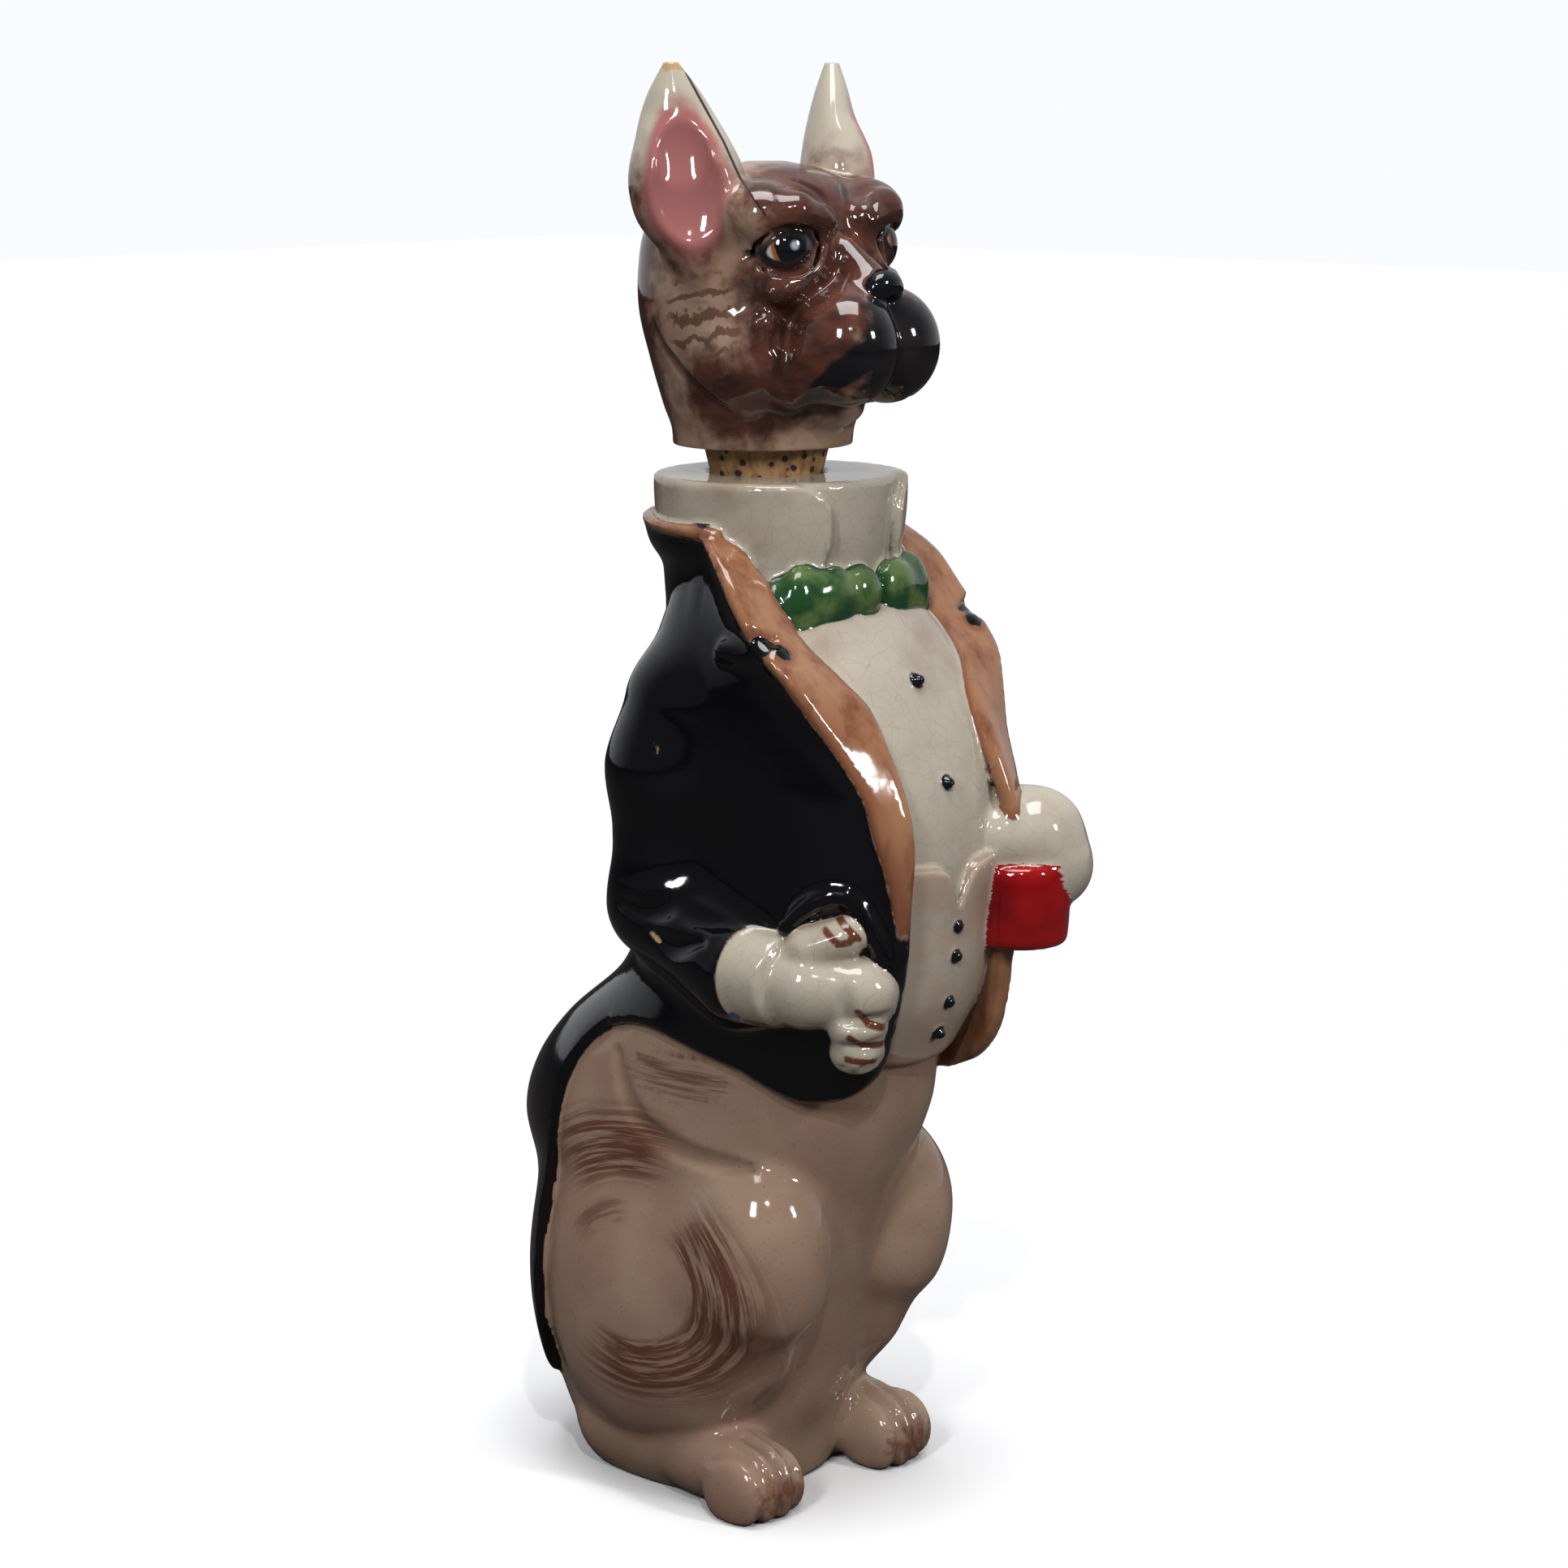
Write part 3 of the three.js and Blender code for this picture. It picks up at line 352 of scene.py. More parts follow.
cuffs = joined(
    1,
    carved(0.5, limb([-14, -11, 55.4], [-13.7, -14.2, 55.2], 4.7, 4.5), lambda x, y, z: y + 15.2),
    limb([12.6, -12, 65.6], [12.4, -15, 65.8], 4.7, 4.5),
)
wristDip = strand([[-18, -15.4, 58.6, 0.5], [-18.2, -15.8, 54.4, 0.8], [-17.4, -15.6, 50.6, 0.5]])
knuckleDips = joined(
    0.2,
    strand([[-13.6, -22.6, 57.4, 0.1], [-14, -22, 54.6, 0.5], [-13.2, -21.8, 52.4, 0.4]]),
    strand([[-13.4, -21.6, 52.5, 0.3], [-11.6, -23.2, 52.4, 0.5], [-9.6, -24.6, 52.8, 0.3]]),
    strand([[-13, -21.6, 50.2, 0.2], [-11, -23.2, 50, 0.45], [-9, -24, 50.6, 0.2]]),
    strand([[-12.6, -20.8, 48.2, 0.1], [-10.6, -22.6, 47.9, 0.35], [-9, -23, 48.4, 0.1]]),
)
fist = joined(
    1.5,
    limb([-13.6, -13.4, 55], [-12.9, -16.5, 54.8], 3.6, 3.7),
    limb([-12.9, -16.5, 54.8], [-11, -20.2, 54.6], 3.7, 3.3),
    ball([-10, -22.2, 54.3], [2.2, 2, 2.5]),
)
thumb = limb([-13.4, -17.2, 58.4], [-11.7, -20.1, 59.7], 2.2, 1.9)
fingers = joined(0.8, ball([-11, -20.9, 51.4], [2.9, 2.6, 2.2]), ball([-10.7, -20.6, 48.9], [2.6, 2.4, 2.1]))
rightHand = joined(0.5, fist, thumb, fingers)
leftHand = joined(
    1.5,
    limb([12.2, -15, 65.8], [12.2, -23, 65.6], 4.7, 4.7),
    limb([12.2, -23, 65.6], [12.8, -24.5, 63.2], 4.7, 4.2),
    limb([8.6, -18, 67], [8.6, -21.6, 66], 4.4, 3.8),
)
cup = carved(0.8, ball([10, -22.8, 60], [4.9, 5.2, 12]), lambda x, y, z: z - 56, lambda x, y, z: 64 - z)

openingHalf = curve([
    [42, 9], [50, 8.3], [56, 7.6], [66, 8], [73, 9], [80, 11], [84, 12.4], [89, 12.6], [93, 11.5], [97, 3],
])
hemRise = curve([
    [-24, 57], [-22.8, 51], [-22.1, 48.2], [-21.1, 46.2], [-19.4, 44.4], [-17.5, 43.4], [-14, 43.2],
    [-8, 45.6], [0, 47.8], [5, 47.8], [10, 45.8], [13.5, 42], [15.2, 37], [16, 28], [16.5, 20], [17, 14],
    [18, 9], [30, 8],
])
tailSplit = curve([[8, 8], [12, 5], [30, 1.6], [44, 0.4], [47, -2]])


def hemEdge(x, y, z):
    rise, = hemRise(y)
    return np.where(y > 8, 0.35, 1) * (rise - z)


def coatEdge(x, y, z):
    half, = openingHalf(z)
    split, = tailSplit(z)
    front = np.where(y < -3, half - abs(x), -9)
    tails = np.where(y > 8, split - abs(x), -9)
    return np.maximum(np.maximum(front, tails), np.maximum(hemEdge(x, y, z), z - 95))


coat = layer(joined(3, trunk, haunches), figureSizes["coatThickness"], coatEdge)
coatFront = bothSides(carved(
    0.6,
    sheet([
        [40, 8.6, -18, 11, -10, 0.9],
        [46, 8.5, -20.8, 11.2, -9.6, 0.9],
        [50, 8.4, -22.2, 11.4, -9.6, 0.9],
        [56, 8, -23.2, 11.8, -10, 0.9],
        [62, 8, -23.3, 12, -10, 0.9],
        [66, 8.8, -22.7, 12.2, -10, 0.9],
        [72, 9.7, -21, 12.6, -8, 0.9],
        [76, 11.1, -18.7, 12.8, -7, 0.9],
        [80, 12.9, -16.8, 12.4, -6, 0.9],
        [84, 14.4, -14.2, 12, -4, 0.9],
        [88, 14.2, -10.2, 11, -3, 0.9],
        [92, 13.4, -7.2, 10.4, -2, 0.7],
        [96, 12, -3, 10, 0, 0.5],
    ]),
    lambda x, y, z: -hemEdge(x, y, z),
))
lapelPlan = [  # from the inner edge, beside the shirt, to the outer edge, where the cloth turns over
    [58, 7.9, -23.7, 8, -23.6, 0.4],
    [62, 7.9, -23.9, 8.4, -23.7, 0.6],
    [66, 7.8, -24, 9, -23.2, 0.8],
    [69, 7.7, -23.8, 9.7, -22.7, 0.8],
    [72, 7.6, -22.8, 9.9, -21.7, 0.9],
    [76, 7.6, -20.9, 11.1, -19.5, 0.9],
    [80, 7.8, -18.4, 12.9, -17.5, 0.9],
    [83, 9.2, -15.8, 14.2, -15.8, 0.9],
    [86, 10.4, -12.6, 14.9, -12.9, 0.9],
    [89, 10.6, -10.2, 14.8, -10.3, 0.9],
    [92, 11, -7.8, 14.2, -7.9, 0.9],
    [94.6, 11.4, -4.9, 12.7, -4.6, 0.8],
    [95.8, 11.2, -2.4, 11.8, -2.4, 0.6],
]
notch = limb([13.2, -12.9, 86.6], [16.6, -13.4, 86.8], 0.35, 2.3)
lapelSeam = limb([13.6, -13.6, 86.5], [11.2, -13.4, 87.8], 0.45, 0.35)
collarPiping = strand([
    [12, -4.4, 95.2, 0.6], [12.4, -1, 95.4, 0.55], [11.2, 4, 95.6, 0.5], [6.6, 9, 95.8, 0.5],
    [0, 10.9, 95.9, 0.5],
])
lapels = bothSides(joined(0.4, carved(0.3, sheet(lapelPlan), notch, lapelSeam), collarPiping))
coatCollar = layer(
    column([
        [84, 0, -3.9, 12, 8, 2.2],
        [88, 0, -2.4, 10, 8.2, 2],
        [91, 0, -1.5, 10.1, 9.2, 2],
        [93.5, 0, -1, 11.2, 10.7, 2],
        [96, 0, -0.8, 11.6, 11.3, 2],
    ]),
    0.9,
    lambda x, y, z: np.maximum(-7 - y, z - 94.8 - 0.12 * y),
)
collarEnd = bothSides(limb([14.6, -8, 85.2], [13.8, -13.6, 84.9], 1, 1.2))  # the roll below the notch
collarShape = [
    [88, 0, -1.6, 9.8, 9.8, 2],
    [92, 0, -1.8, 10.2, 10.3, 2],
    [95, 0, -1.8, 10.7, 10.8, 2],
    [98, 0, -1.8, 11, 11, 2],
    [101, 0, -1.8, 11, 11, 2],
]
collarBand = column(collarShape)
wingEdge = curve([[86, 9], [89, 6.8], [92, 5.2], [96, 4.6], [98.5, 5.4], [100, 7.4], [101, 9]])


def wingEnds(x, y, z):
    half, = wingEdge(z)
    return np.where(y < 0, half - abs(x), -9)


collarWings = layer(collarBand, 1, wingEnds, 0.25)
collar = joined(0.1, collarBand, collarWings)
bowKnot = ball([-0.9, -12.4, 89.5], [2.5, 1.9, 2.6])
bowLoops = bothSides(joined(
    1,
    ball([4.2, -12.1, 89.2], [2.9, 1.7, 3]),
    ball([7.2, -11, 88.6], [3, 2, 4]),
    ball([9, -9.4, 88.2], [2.1, 1.8, 3.2]),
))
bow = joined(0.35, bowKnot, bowLoops)
shirtY = curve([  # the shirt's front, where the buttons sit
    [46, -20.9], [48.65, -21.4], [51.9, -22.6], [56.4, -23.4], [64.5, -23.4], [72.6, -22.3], [81.8, -18.6],
])
waistcoatTop = curve([[0, 61.2], [1.6, 64.3], [3, 65.2], [12, 65.6]])


def waistcoatEdge(x, y, z):
    top, = waistcoatTop(abs(x))
    return np.maximum(np.maximum(45.6 + 0.02 * x * x - z, z - top), np.maximum(y + 3, abs(x) - 10.5))


waistcoat = layer(trunk, 1, waistcoatEdge, 0.3)


def buttonsAt(heights):
    r = figureSizes["buttonRadius"]
    return [ball([0, shirtY(np.array(h))[0], h], [r, 0.9, r]) for h in heights]


buttons = joined(0.1, *buttonsAt(figureSizes["shirtButtons"] + figureSizes["waistcoatButtons"]))
blackCoat = joined(0.8, joined(2.2, joined(2, coat, coatFront), sleeves), coatCollar, collarEnd, thumbRidge)


def mouth(x, y, z):
    return np.maximum(np.sqrt(x * x + y * y) - figureSizes["boreRadius"], figureSizes["boreFloor"] - z)


aboveRim = lambda x, y, z: 100 - z
belowFloor = lambda x, y, z: z
nearHand = grooved(0.7, joined(0.5, cuffs, rightHand), wristDip, knuckleDips)
figureWhole = joined(
    0.5, joined(0.6, body, blackCoat), waistcoat, lapels, collar, nearHand, leftHand, cup, bow,
)
figureForm = carved(0.5, joined(0.15, figureWhole, buttons), mouth, aboveRim, belowFloor)
print("figure forms made")


fingerLines = [  # brown lines on the fist, across the view and up
    [5.9, 62.2, 8.3, 59.9], [5.3, 60.6, 6.4, 59.5], [6.4, 59.5, 7.6, 59.7],
    [8.2, 53.4, 9.2, 52.1], [9.2, 52.1, 10.5, 51.6], [7.4, 51, 8.8, 50], [8.8, 50, 10.5, 49.8],
    [7.2, 48.8, 9.7, 48.3],
]
sleeveChips = [[-10.3, 76, -10.2, 75.5], [-10.6, 58.2, -10.1, 57.7]]
cuffButtonPlace = (-3.1, 51.7)
swirlMiddle = (2.8, 22.7)  # the haunch's brush strokes run round here, in y and z
swirlReach = (7.3, 5.9)


# The plan turned to the dog's front right quarter: first how far across, then how far towards it.
def facingPlan(x, y):
    return 0.669 * x - 0.743 * y, -0.743 * x - 0.669 * y


def nearSegments(lines, a, b):
    found = np.full(np.shape(a), 99.0)
    for a0, b0, a1, b1 in lines:
        da, db = a1 - a0, b1 - b0
        share = np.clip(((a - a0) * da + (b - b0) * db) / (da * da + db * db), 0, 1)
        found = np.minimum(found, np.hypot(a - a0 - share * da, b - b0 - share * db))
    return found


def figurePaint(x, y, z):
    owners = {
        "fur": body, "coat": blackCoat, "lapel": lapels, "collar": collar, "cuff": cuffs,
        "hand": joined(0.4, rightHand, leftHand), "cup": cup, "bow": bow, "button": buttons,
        "vest": waistcoat,
    }
    d = {name: form(x, y, z) for name, form in owners.items()}
    behind = (y > -4) & (z < 93.5)  # here the shirt's collar is painted as the fold of the coat's
    d["collar"] = np.where(behind, 99, d["collar"])
    paint = {}
    for name in d:
        others = [v for other, v in d.items() if other != name]
        paint[name] = np.minimum.reduce(others) - d[name]
    half, = openingHalf(z)
    shirtEdge = np.minimum(half + 1.5 - abs(x), -3 - y)
    shirtFoot = z - 46.2 - 0.05 * x * x
    paint["shirt"] = np.minimum(np.minimum(shirtEdge, shirtFoot), -np.maximum(paint["coat"], paint["lapel"]))
    paint["waistcoat"] = -waistcoatEdge(x, y, z)
    paint["facing"] = np.minimum(np.minimum(63 - z, -13 - y), 10.5 - abs(x)) + np.where(x < 0, -9, 0)
    fore, up = swirlMiddle[0] - y, z - swirlMiddle[1]
    around = np.arctan2(up, fore)  # 0 in front of the haunch's middle, a quarter turn above it
    outwards = np.sqrt((fore / swirlReach[0]) ** 2 + (up / swirlReach[1]) ** 2)
    clear = np.clip(np.maximum(fore, abs(up)) - 0.6, 0, 1)  # nothing where the angle starts again
    paint["swirl"] = np.array([outwards, around, clear * np.clip((abs(x) - 8.5) / 2, 0, 1)])
    paint["hip"] = -bothSides(ball([14.5, -1.3, 43.6], [5, 6.5, 2.6]))(x, y, z)
    paint["claws"] = np.minimum(-10.2 - y, 5 - z)
    u, w = facingPlan(x, y)
    paint["fingerLines"] = np.where((w > 19) & (x < 0), 0.34 - nearSegments(fingerLines, u, z), -9)
    # how near the folds and toe grooves are, where the fur is painted darker as shade
    paint["dent"] = np.minimum.reduce([form(x, y, z) for form in (rumpFold, hipFold, heelFold, toeGrooves)])
    offButton = np.hypot(u - cuffButtonPlace[0], z - cuffButtonPlace[1])
    paint["cuffButton"] = np.where((w > 14) & (x < 0), 0.75 - offButton, -9)
    paint["coatChips"] = np.where((w > 8) & (x < 0), 0.25 - nearSegments(sleeveChips, u, z), -9)
    return paint


figurePoints, figureFaces = netOf(figureForm, [-24.3, -34.3, -1.5], [24, 34, 102], figureSizes["step"])
print("figure meshed")
figure = meshPiece("glazedFigure", figurePoints, figureFaces, bodyUnit, 0, figurePaint(*figurePoints))
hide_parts("bottle")
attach(figure, "root")


# Head, in hundredths of its height from the neck's edge to the tips of the ears

headSizes = {
    "step": 0.62,
    "socketRadius": 17.1,
    "socketTop": 17.5,
}

skull = joined(
    5,
    column([
        [-4, 0, 1.5, 23.5, 23.5, 2],
        [4, 0, 1.3, 24, 23.9, 2],
        [10, 0, 1.3, 26.4, 25.6, 2],
        [22, 0, 1.5, 30, 28.5, 2],
        [35, 0, 3.5, 32, 29.5, 2],
        [47, 0, 3.5, 31.5, 30, 2],
        [56, 0, 3, 30, 28.5, 2],
        [66, 0, 1, 25, 23, 2],
        [71, 0, 0, 15, 14, 2],
        [73, 0, 0, 5, 5, 2],
    ]),
    bothSides(ball([12.5, -17.5, 48], [12.5, 12, 13])),
    bothSides(ball([21, -10, 24], [9.5, 14, 12])),
)
brows = bothSides(joined(
    2,
    limb([23.5, -19.2, 58.4], [17, -25, 61], 5, 4.8),
    limb([17, -25, 61], [9, -26.5, 59], 4.8, 4),
    ball([20, -15.4, 60.5], [10, 11, 8.2]),
))
muzzle = joined(
    3,
    bothSides(joined(
        3, ball([8, -34, 27], [13.2, 14.3, 15]), limb([11.5, -31, 23], [15.5, -22.5, 17], 9, 6),
    )),
    ball([0, -32.5, 37], [10.5, 9, 9]),
    limb([0, -27, 50], [0, -36, 42], 4.5, 5.2),
    ball([0, -20.5, 11], [10, 10, 6]),
)
nose = joined(
    1.2,
    ball([0, -40.3, 42.6], [5.4, 3.6, 4]),
    bothSides(ball([3.4, -39.8, 41.4], [3, 2.8, 2.8])),
)
eyeCentre = [16.2, -20.4, 51.6]
eyeRadius = 8
eyeOut, eyeSide = [0.56, -0.83], [0.83, 0.56]


# A point about the eye, side towards the ear and up, in shares of its radius.
def onEye(side, up, radius):
    out = math.sqrt(max(0, 1 - side * side - up * up))
    x, y = [eyeOut[i] * out + eyeSide[i] * side for i in (0, 1)]
    return [eyeCentre[0] + x * radius, eyeCentre[1] + y * radius, eyeCentre[2] + up * radius]


eyeball = bothSides(ball(eyeCentre, [eyeRadius] * 3))
eyeSocket = bothSides(ball([c + o for c, o in zip(eyeCentre, [1.5, -2.2, 0])], [8.8, 8.8, 8]))
lidLine = eyeRadius + 0.35
upperLid = bothSides(strand([
    [*onEye(0.88, -0.3, lidLine), 0.5], [*onEye(0.62, 0.44, lidLine), 0.8], [*onEye(0.1, 0.74, lidLine), 1],
    [*onEye(-0.5, 0.66, lidLine), 1], [*onEye(-0.86, 0.16, lidLine), 0.7],
]))
lowerLid = bothSides(strand([
    [*onEye(0.88, -0.3, lidLine), 0.5], [*onEye(0.46, -0.68, lidLine), 0.7],
    [*onEye(-0.1, -0.78, lidLine), 0.8],
    [*onEye(-0.62, -0.52, lidLine), 0.8], [*onEye(-0.86, 0.16, lidLine), 0.7],
]))
pouches = bothSides(
    joined(3, ball([20.5, -22.8, 41], [5.6, 3.8, 3.6]), ball([24, -20.4, 33], [4, 2.8, 4])),
)
earBlade = column([
    [40, 24, 1, 4, 5, 2],
    [50, 26.4, 0.6, 8.5, 8.6, 2],
    [58, 27.9, 0, 13.2, 10.6, 2],
    [66, 28.5, 0.1, 14.9, 11.2, 2],
    [72, 28.9, 0.3, 14.4, 10.6, 2],
    [79, 29.8, 1.2, 11.9, 8.6, 2],
    [85, 30.9, 2.4, 9.4, 6, 2],
    [91, 31.7, 2.4, 6.4, 4.3, 2],
    [98, 32.5, 2.3, 1.8, 1.9, 2],
])
earBowl = joined(2, ball([28.4, -12.6, 67], [11.6, 6.6, 17]), ball([29.8, -8.6, 80], [7.4, 4.8, 13]))
earTurn = 45
ears = bothSides(turnedAbout(carved(1.4, earBlade, earBowl), [29, 1.5], earTurn))
browFurrow = strand([
    [8.9, -17.4, 69, 0.3], [4.8, -23, 65.7, 0.9], [2.6, -27.6, 60.7, 1.1], [2.4, -30.4, 55, 0.5],
])
lidFurrow = strand([
    [12.5, -24, 66, 0.2], [9, -28.5, 62.7, 0.7], [6.6, -31.5, 58, 0.9], [7, -31.5, 52.5, 0.5],
])
cheekCrease = strand([
    [9, -31, 47.5, 0.3], [15.7, -29.2, 42.7, 1], [20, -26.6, 36.5, 1.1], [23.5, -24, 28.5, 1],
    [22, -26, 22, 0.2],
])
pouchCrease = strand([[26, -22, 46, 0.2], [26, -22.6, 38, 0.8], [27, -20, 34.5, 0.3]])
cornerCrease = strand([[*onEye(0.99, -0.1, 7.4), 0.7], [28.5, -15.5, 49.5, 0.7], [31.5, -8.5, 49.5, 0.1]])
jawFold = strand([
    [30, 12, 33, 0.2], [29.6, 7, 25, 1], [27.6, -6.7, 12.5, 1.2], [20.4, -16.2, 6, 0.9], [10, -23, 4, 0.2],
])
philtrum = strand([[0, -42, 38.5, 0.5], [0, -46, 33, 0.9], [0, -49.5, 24, 1], [0, -47, 14, 0.9]])
lipLine = strand([
    [2, -46, 14.5, 0.6], [9, -42, 12.6, 0.9], [15, -34, 11.6, 1.1], [18.4, -26, 11.2, 0.9],
    [19.5, -22.6, 10, 0.2],
])
nostrils = ball([3.4, -42, 41.4], [1.1, 1.4, 1])
creases = [bothSides(c) for c in (
    browFurrow, lidFurrow, cheekCrease, pouchCrease, cornerCrease, jawFold, philtrum, lipLine, nostrils,
)]
shadedCreases = creases[:6]  # those painted darker along their folds, as painted shade
face = joined(4, joined(3, skull, muzzle), brows, pouches)
headWhole = joined(1, joined(3, grooved(1.3, face, *creases), ears), nose)
lids = joined(0.6, upperLid, lowerLid)
headSeen = joined(0.3, joined(1.2, carved(1.2, headWhole, eyeSocket), lids), eyeball)


def socket(x, y, z):
    return np.maximum(np.sqrt(x * x + y * y) - headSizes["socketRadius"], z - headSizes["socketTop"])


headForm = carved(0.6, headSeen, belowFloor, socket)


earCrack = [  # across the view and up
    [-21.3, 97.3, -15.9, 87.5], [-15.9, 87.5, -10.8, 78.4], [-10.8, 78.4, -6.7, 69.5],
    [-6.7, 69.5, -0.3, 60.4],
]
mouthCorner = bothSides(strand([
    [14, -47, 26, 4.4], [19, -38, 18.5, 3.4], [17, -29, 13, 2.2], [12.6, -24.4, 11, 0.9],
]))
brownPatches = [bothSides(form) for form in (
    ball([0, -24, 64], [23, 15, 11]), ball([14, -31, 29], [14, 12, 15]), ball([0, 30, 38], [36, 22, 44]),
    ball([21, -25, 40], [7, 7, 7]), ball([24, -14, 14], [10, 12, 7]), ball([0, -36, 50], [8, 10, 12]),
)]


def headPaint(x, y, z):
    rest = joined(1, headWhole, lids)(x, y, z)
    offEye, offFace = eyeball(x, y, z), face(x, y, z)
    paint = {
        "eye": rest - offEye, "lid": rest - offEye + 0.9, "nose": offFace - nose(x, y, z),
        "ear": offFace - ears(x, y, z),
    }
    bowl = bothSides(turnedAbout(earBowl, [29, 1.5], earTurn))(x, y, z)
    paint["earInside"] = 2.6 - bowl
    paint["place"] = np.array([abs(x), y, z])
    u, w = facingPlan(x, y)
    paint["crack"] = np.where((x < 0) & (w > 8), 0.34 - nearSegments(earCrack, u, z), -9)
    paint["chip"] = np.where(x < 0, z - 95.6, -9)
    paint["mouth"] = -mouthCorner(x, y, z)
    paint["stripes"] = -bothSides(ball([30, -6, 34], [9, 13, 13]))(x, y, z)
    paint["muzzleBlack"] = 15 - np.sqrt(((abs(x) - 2) / 0.9) ** 2 + (y + 50) ** 2 + ((z - 27) / 1.35) ** 2)
    side = (abs(x) - eyeCentre[0]) * eyeSide[0] + (y - eyeCentre[1]) * eyeSide[1]
    up = z - eyeCentre[2]
    paint["eyePlan"] = np.array([side / eyeRadius, up / eyeRadius, np.sign(x)])
    paint["brown"] = -joined(3, *brownPatches)(x, y, z)
    # painted shade: how near each point is to the folds that are painted darker
    paint["crease"] = 1.6 - np.minimum.reduce([c(x, y, z) for c in shadedCreases])
    return paint


headPoints, headFaces = netOf(headForm, [-52.3, -56.4, -1.6], [52, 42, 101], headSizes["step"])
print("head meshed")
head = meshPiece("glazedHead", headPoints, headFaces, headUnit, neckEdge, headPaint(*headPoints))
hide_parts("head")
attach(head, "root")


# Shader maths

class Maths:  # a socket, with operators that add nodes to its own tree
    def __init__(self, tree, socket):
        self.tree, self.socket = tree, socket

    def math(self, operation, *values):
        node = self.tree.nodes.new("ShaderNodeMath")
        node.operation = operation
        for place, value in zip(node.inputs, values):
            if isinstance(value, Maths):
                self.tree.links.new(value.socket, place)
            else:
                place.default_value = value
        return Maths(self.tree, node.outputs[0])

    def __add__(self, other):
        return self.math("ADD", self, other)

    def __radd__(self, other):
        return self.math("ADD", other, self)

    def __sub__(self, other):
        return self.math("SUBTRACT", self, other)

    def __rsub__(self, other):
        return self.math("SUBTRACT", other, self)

    def __mul__(self, other):
        return self.math("MULTIPLY", self, other)

    def __rmul__(self, other):
        return self.math("MULTIPLY", other, self)

    def highest(self, other):
        return self.math("MAXIMUM", self, other)

    def size(self):
        return self.math("ABSOLUTE", self)

    def sine(self):
        return self.math("SINE", self)

    def root(self):
        return self.math("SQRT", self)

    def ramp(self, low, high):  # 0 below low, 1 above high, and smooth between
        node = self.tree.nodes.new("ShaderNodeMapRange")
        node.interpolation_type = "SMOOTHSTEP"
        self.tree.links.new(self.socket, node.inputs["Value"])
        node.inputs["From Min"].default_value, node.inputs["From Max"].default_value = low, high
        return Maths(self.tree, node.outputs["Result"])


class Finish:  # the nodes of a new material, or of a tree that is already there
    def __init__(self, name, tree=None):
        self.tree = tree
        if tree is None:
            self.material = bpy.data.materials.new(name)
            self.material.use_nodes = True
            self.tree = self.material.node_tree
            self.tree.nodes.clear()

    def node(self, kind, settings=None, output=0, **sockets):  # i3 is the fourth socket, others go by name
        made = self.tree.nodes.new("ShaderNode" + kind)
        for key, value in (settings or {}).items():
            setattr(made, key, value)
        for key, value in sockets.items():
            place = made.inputs[int(key[1:])] if key[1:].isdigit() else made.inputs[key.replace("_", " ")]
            if isinstance(value, Maths):
                self.tree.links.new(value.socket, place)
            else:
                place.default_value = value
        return Maths(self.tree, made.outputs[output])

    def field(self, name):
        return self.node("Attribute", {"attribute_name": name}, "Fac")

    def vector(self, name):
        return self.node("Attribute", {"attribute_name": name}, "Vector")

    def place(self):
        return self.node("TexCoord", output="Object")

    def part(self, vector, index):
        return self.node("SeparateXYZ", output=index, Vector=vector)

    def noise(self, scale, detail=3, roughness=0.5, at=None):
        return self.node("TexNoise", output="Fac", Vector=at or self.place(), Scale=scale, Detail=detail,
                         Roughness=roughness)

    def stretched(self, vector, sizes):
        return self.node("VectorMath", {"operation": "MULTIPLY"}, i0=vector, i1=sizes)

    def strokes(self, sizes, detail=4, roughness=0.6, at=None):  # noise drawn out along the small sizes
        return self.noise(1, detail, roughness, self.stretched(at or self.place(), sizes))

    def mix(self, share, first, second):
        first, second = [(*c, 1) if isinstance(c, tuple) else c for c in (first, second)]
        return self.node("Mix", {"data_type": "RGBA"}, 2, i0=share, i6=first, i7=second)

    def finish(self, colour, roughness, bump, depth, strength):
        shader = self.tree.nodes.new("ShaderNodeBsdfPrincipled")
        out = self.tree.nodes.new("ShaderNodeOutputMaterial")
        raised = self.node("Bump", Height=bump, Distance=depth, Strength=strength)
        self.tree.links.new(colour.socket, shader.inputs["Base Color"])
        self.tree.links.new(raised.socket, shader.inputs["Normal"])
        self.tree.links.new(shader.outputs[0], out.inputs[0])
        shader.inputs["Roughness"].default_value = roughness
        return self.material


glazeColours = {  # linear red, green and blue
    "fur": (0.27, 0.165, 0.118),
    "furPale": (0.34, 0.235, 0.165),
    "furStroke": (0.105, 0.033, 0.017),
    "cream": (0.37, 0.33, 0.265),
    "creamShade": (0.235, 0.18, 0.13),
    "lapel": (0.27, 0.13, 0.068),
    "lapelDark": (0.115, 0.026, 0.011),
    "coat": (0.0025, 0.0025, 0.0035),
    "green": (0.012, 0.05, 0.016),
    "greenPale": (0.09, 0.14, 0.045),
    "greenShade": (0.004, 0.022, 0.014),
    "red": (0.26, 0.004, 0.005),
    "redDark": (0.12, 0.002, 0.004),
    "black": (0.004, 0.005, 0.007),
    "blue": (0.05, 0.09, 0.16),
    "creamCool": (0.40, 0.42, 0.41),
    "clay": (0.36, 0.25, 0.13),
    "pink": (0.27, 0.10, 0.095),
    "pinkPale": (0.40, 0.26, 0.19),
    "headBrown": (0.085, 0.028, 0.018),
    "headDark": (0.03, 0.011, 0.009),
    "eyeWhite": (0.42, 0.50, 0.52),
    "eyeOrange": (0.28, 0.09, 0.02),
    "eyeGlint": (0.30, 0.33, 0.36),
}


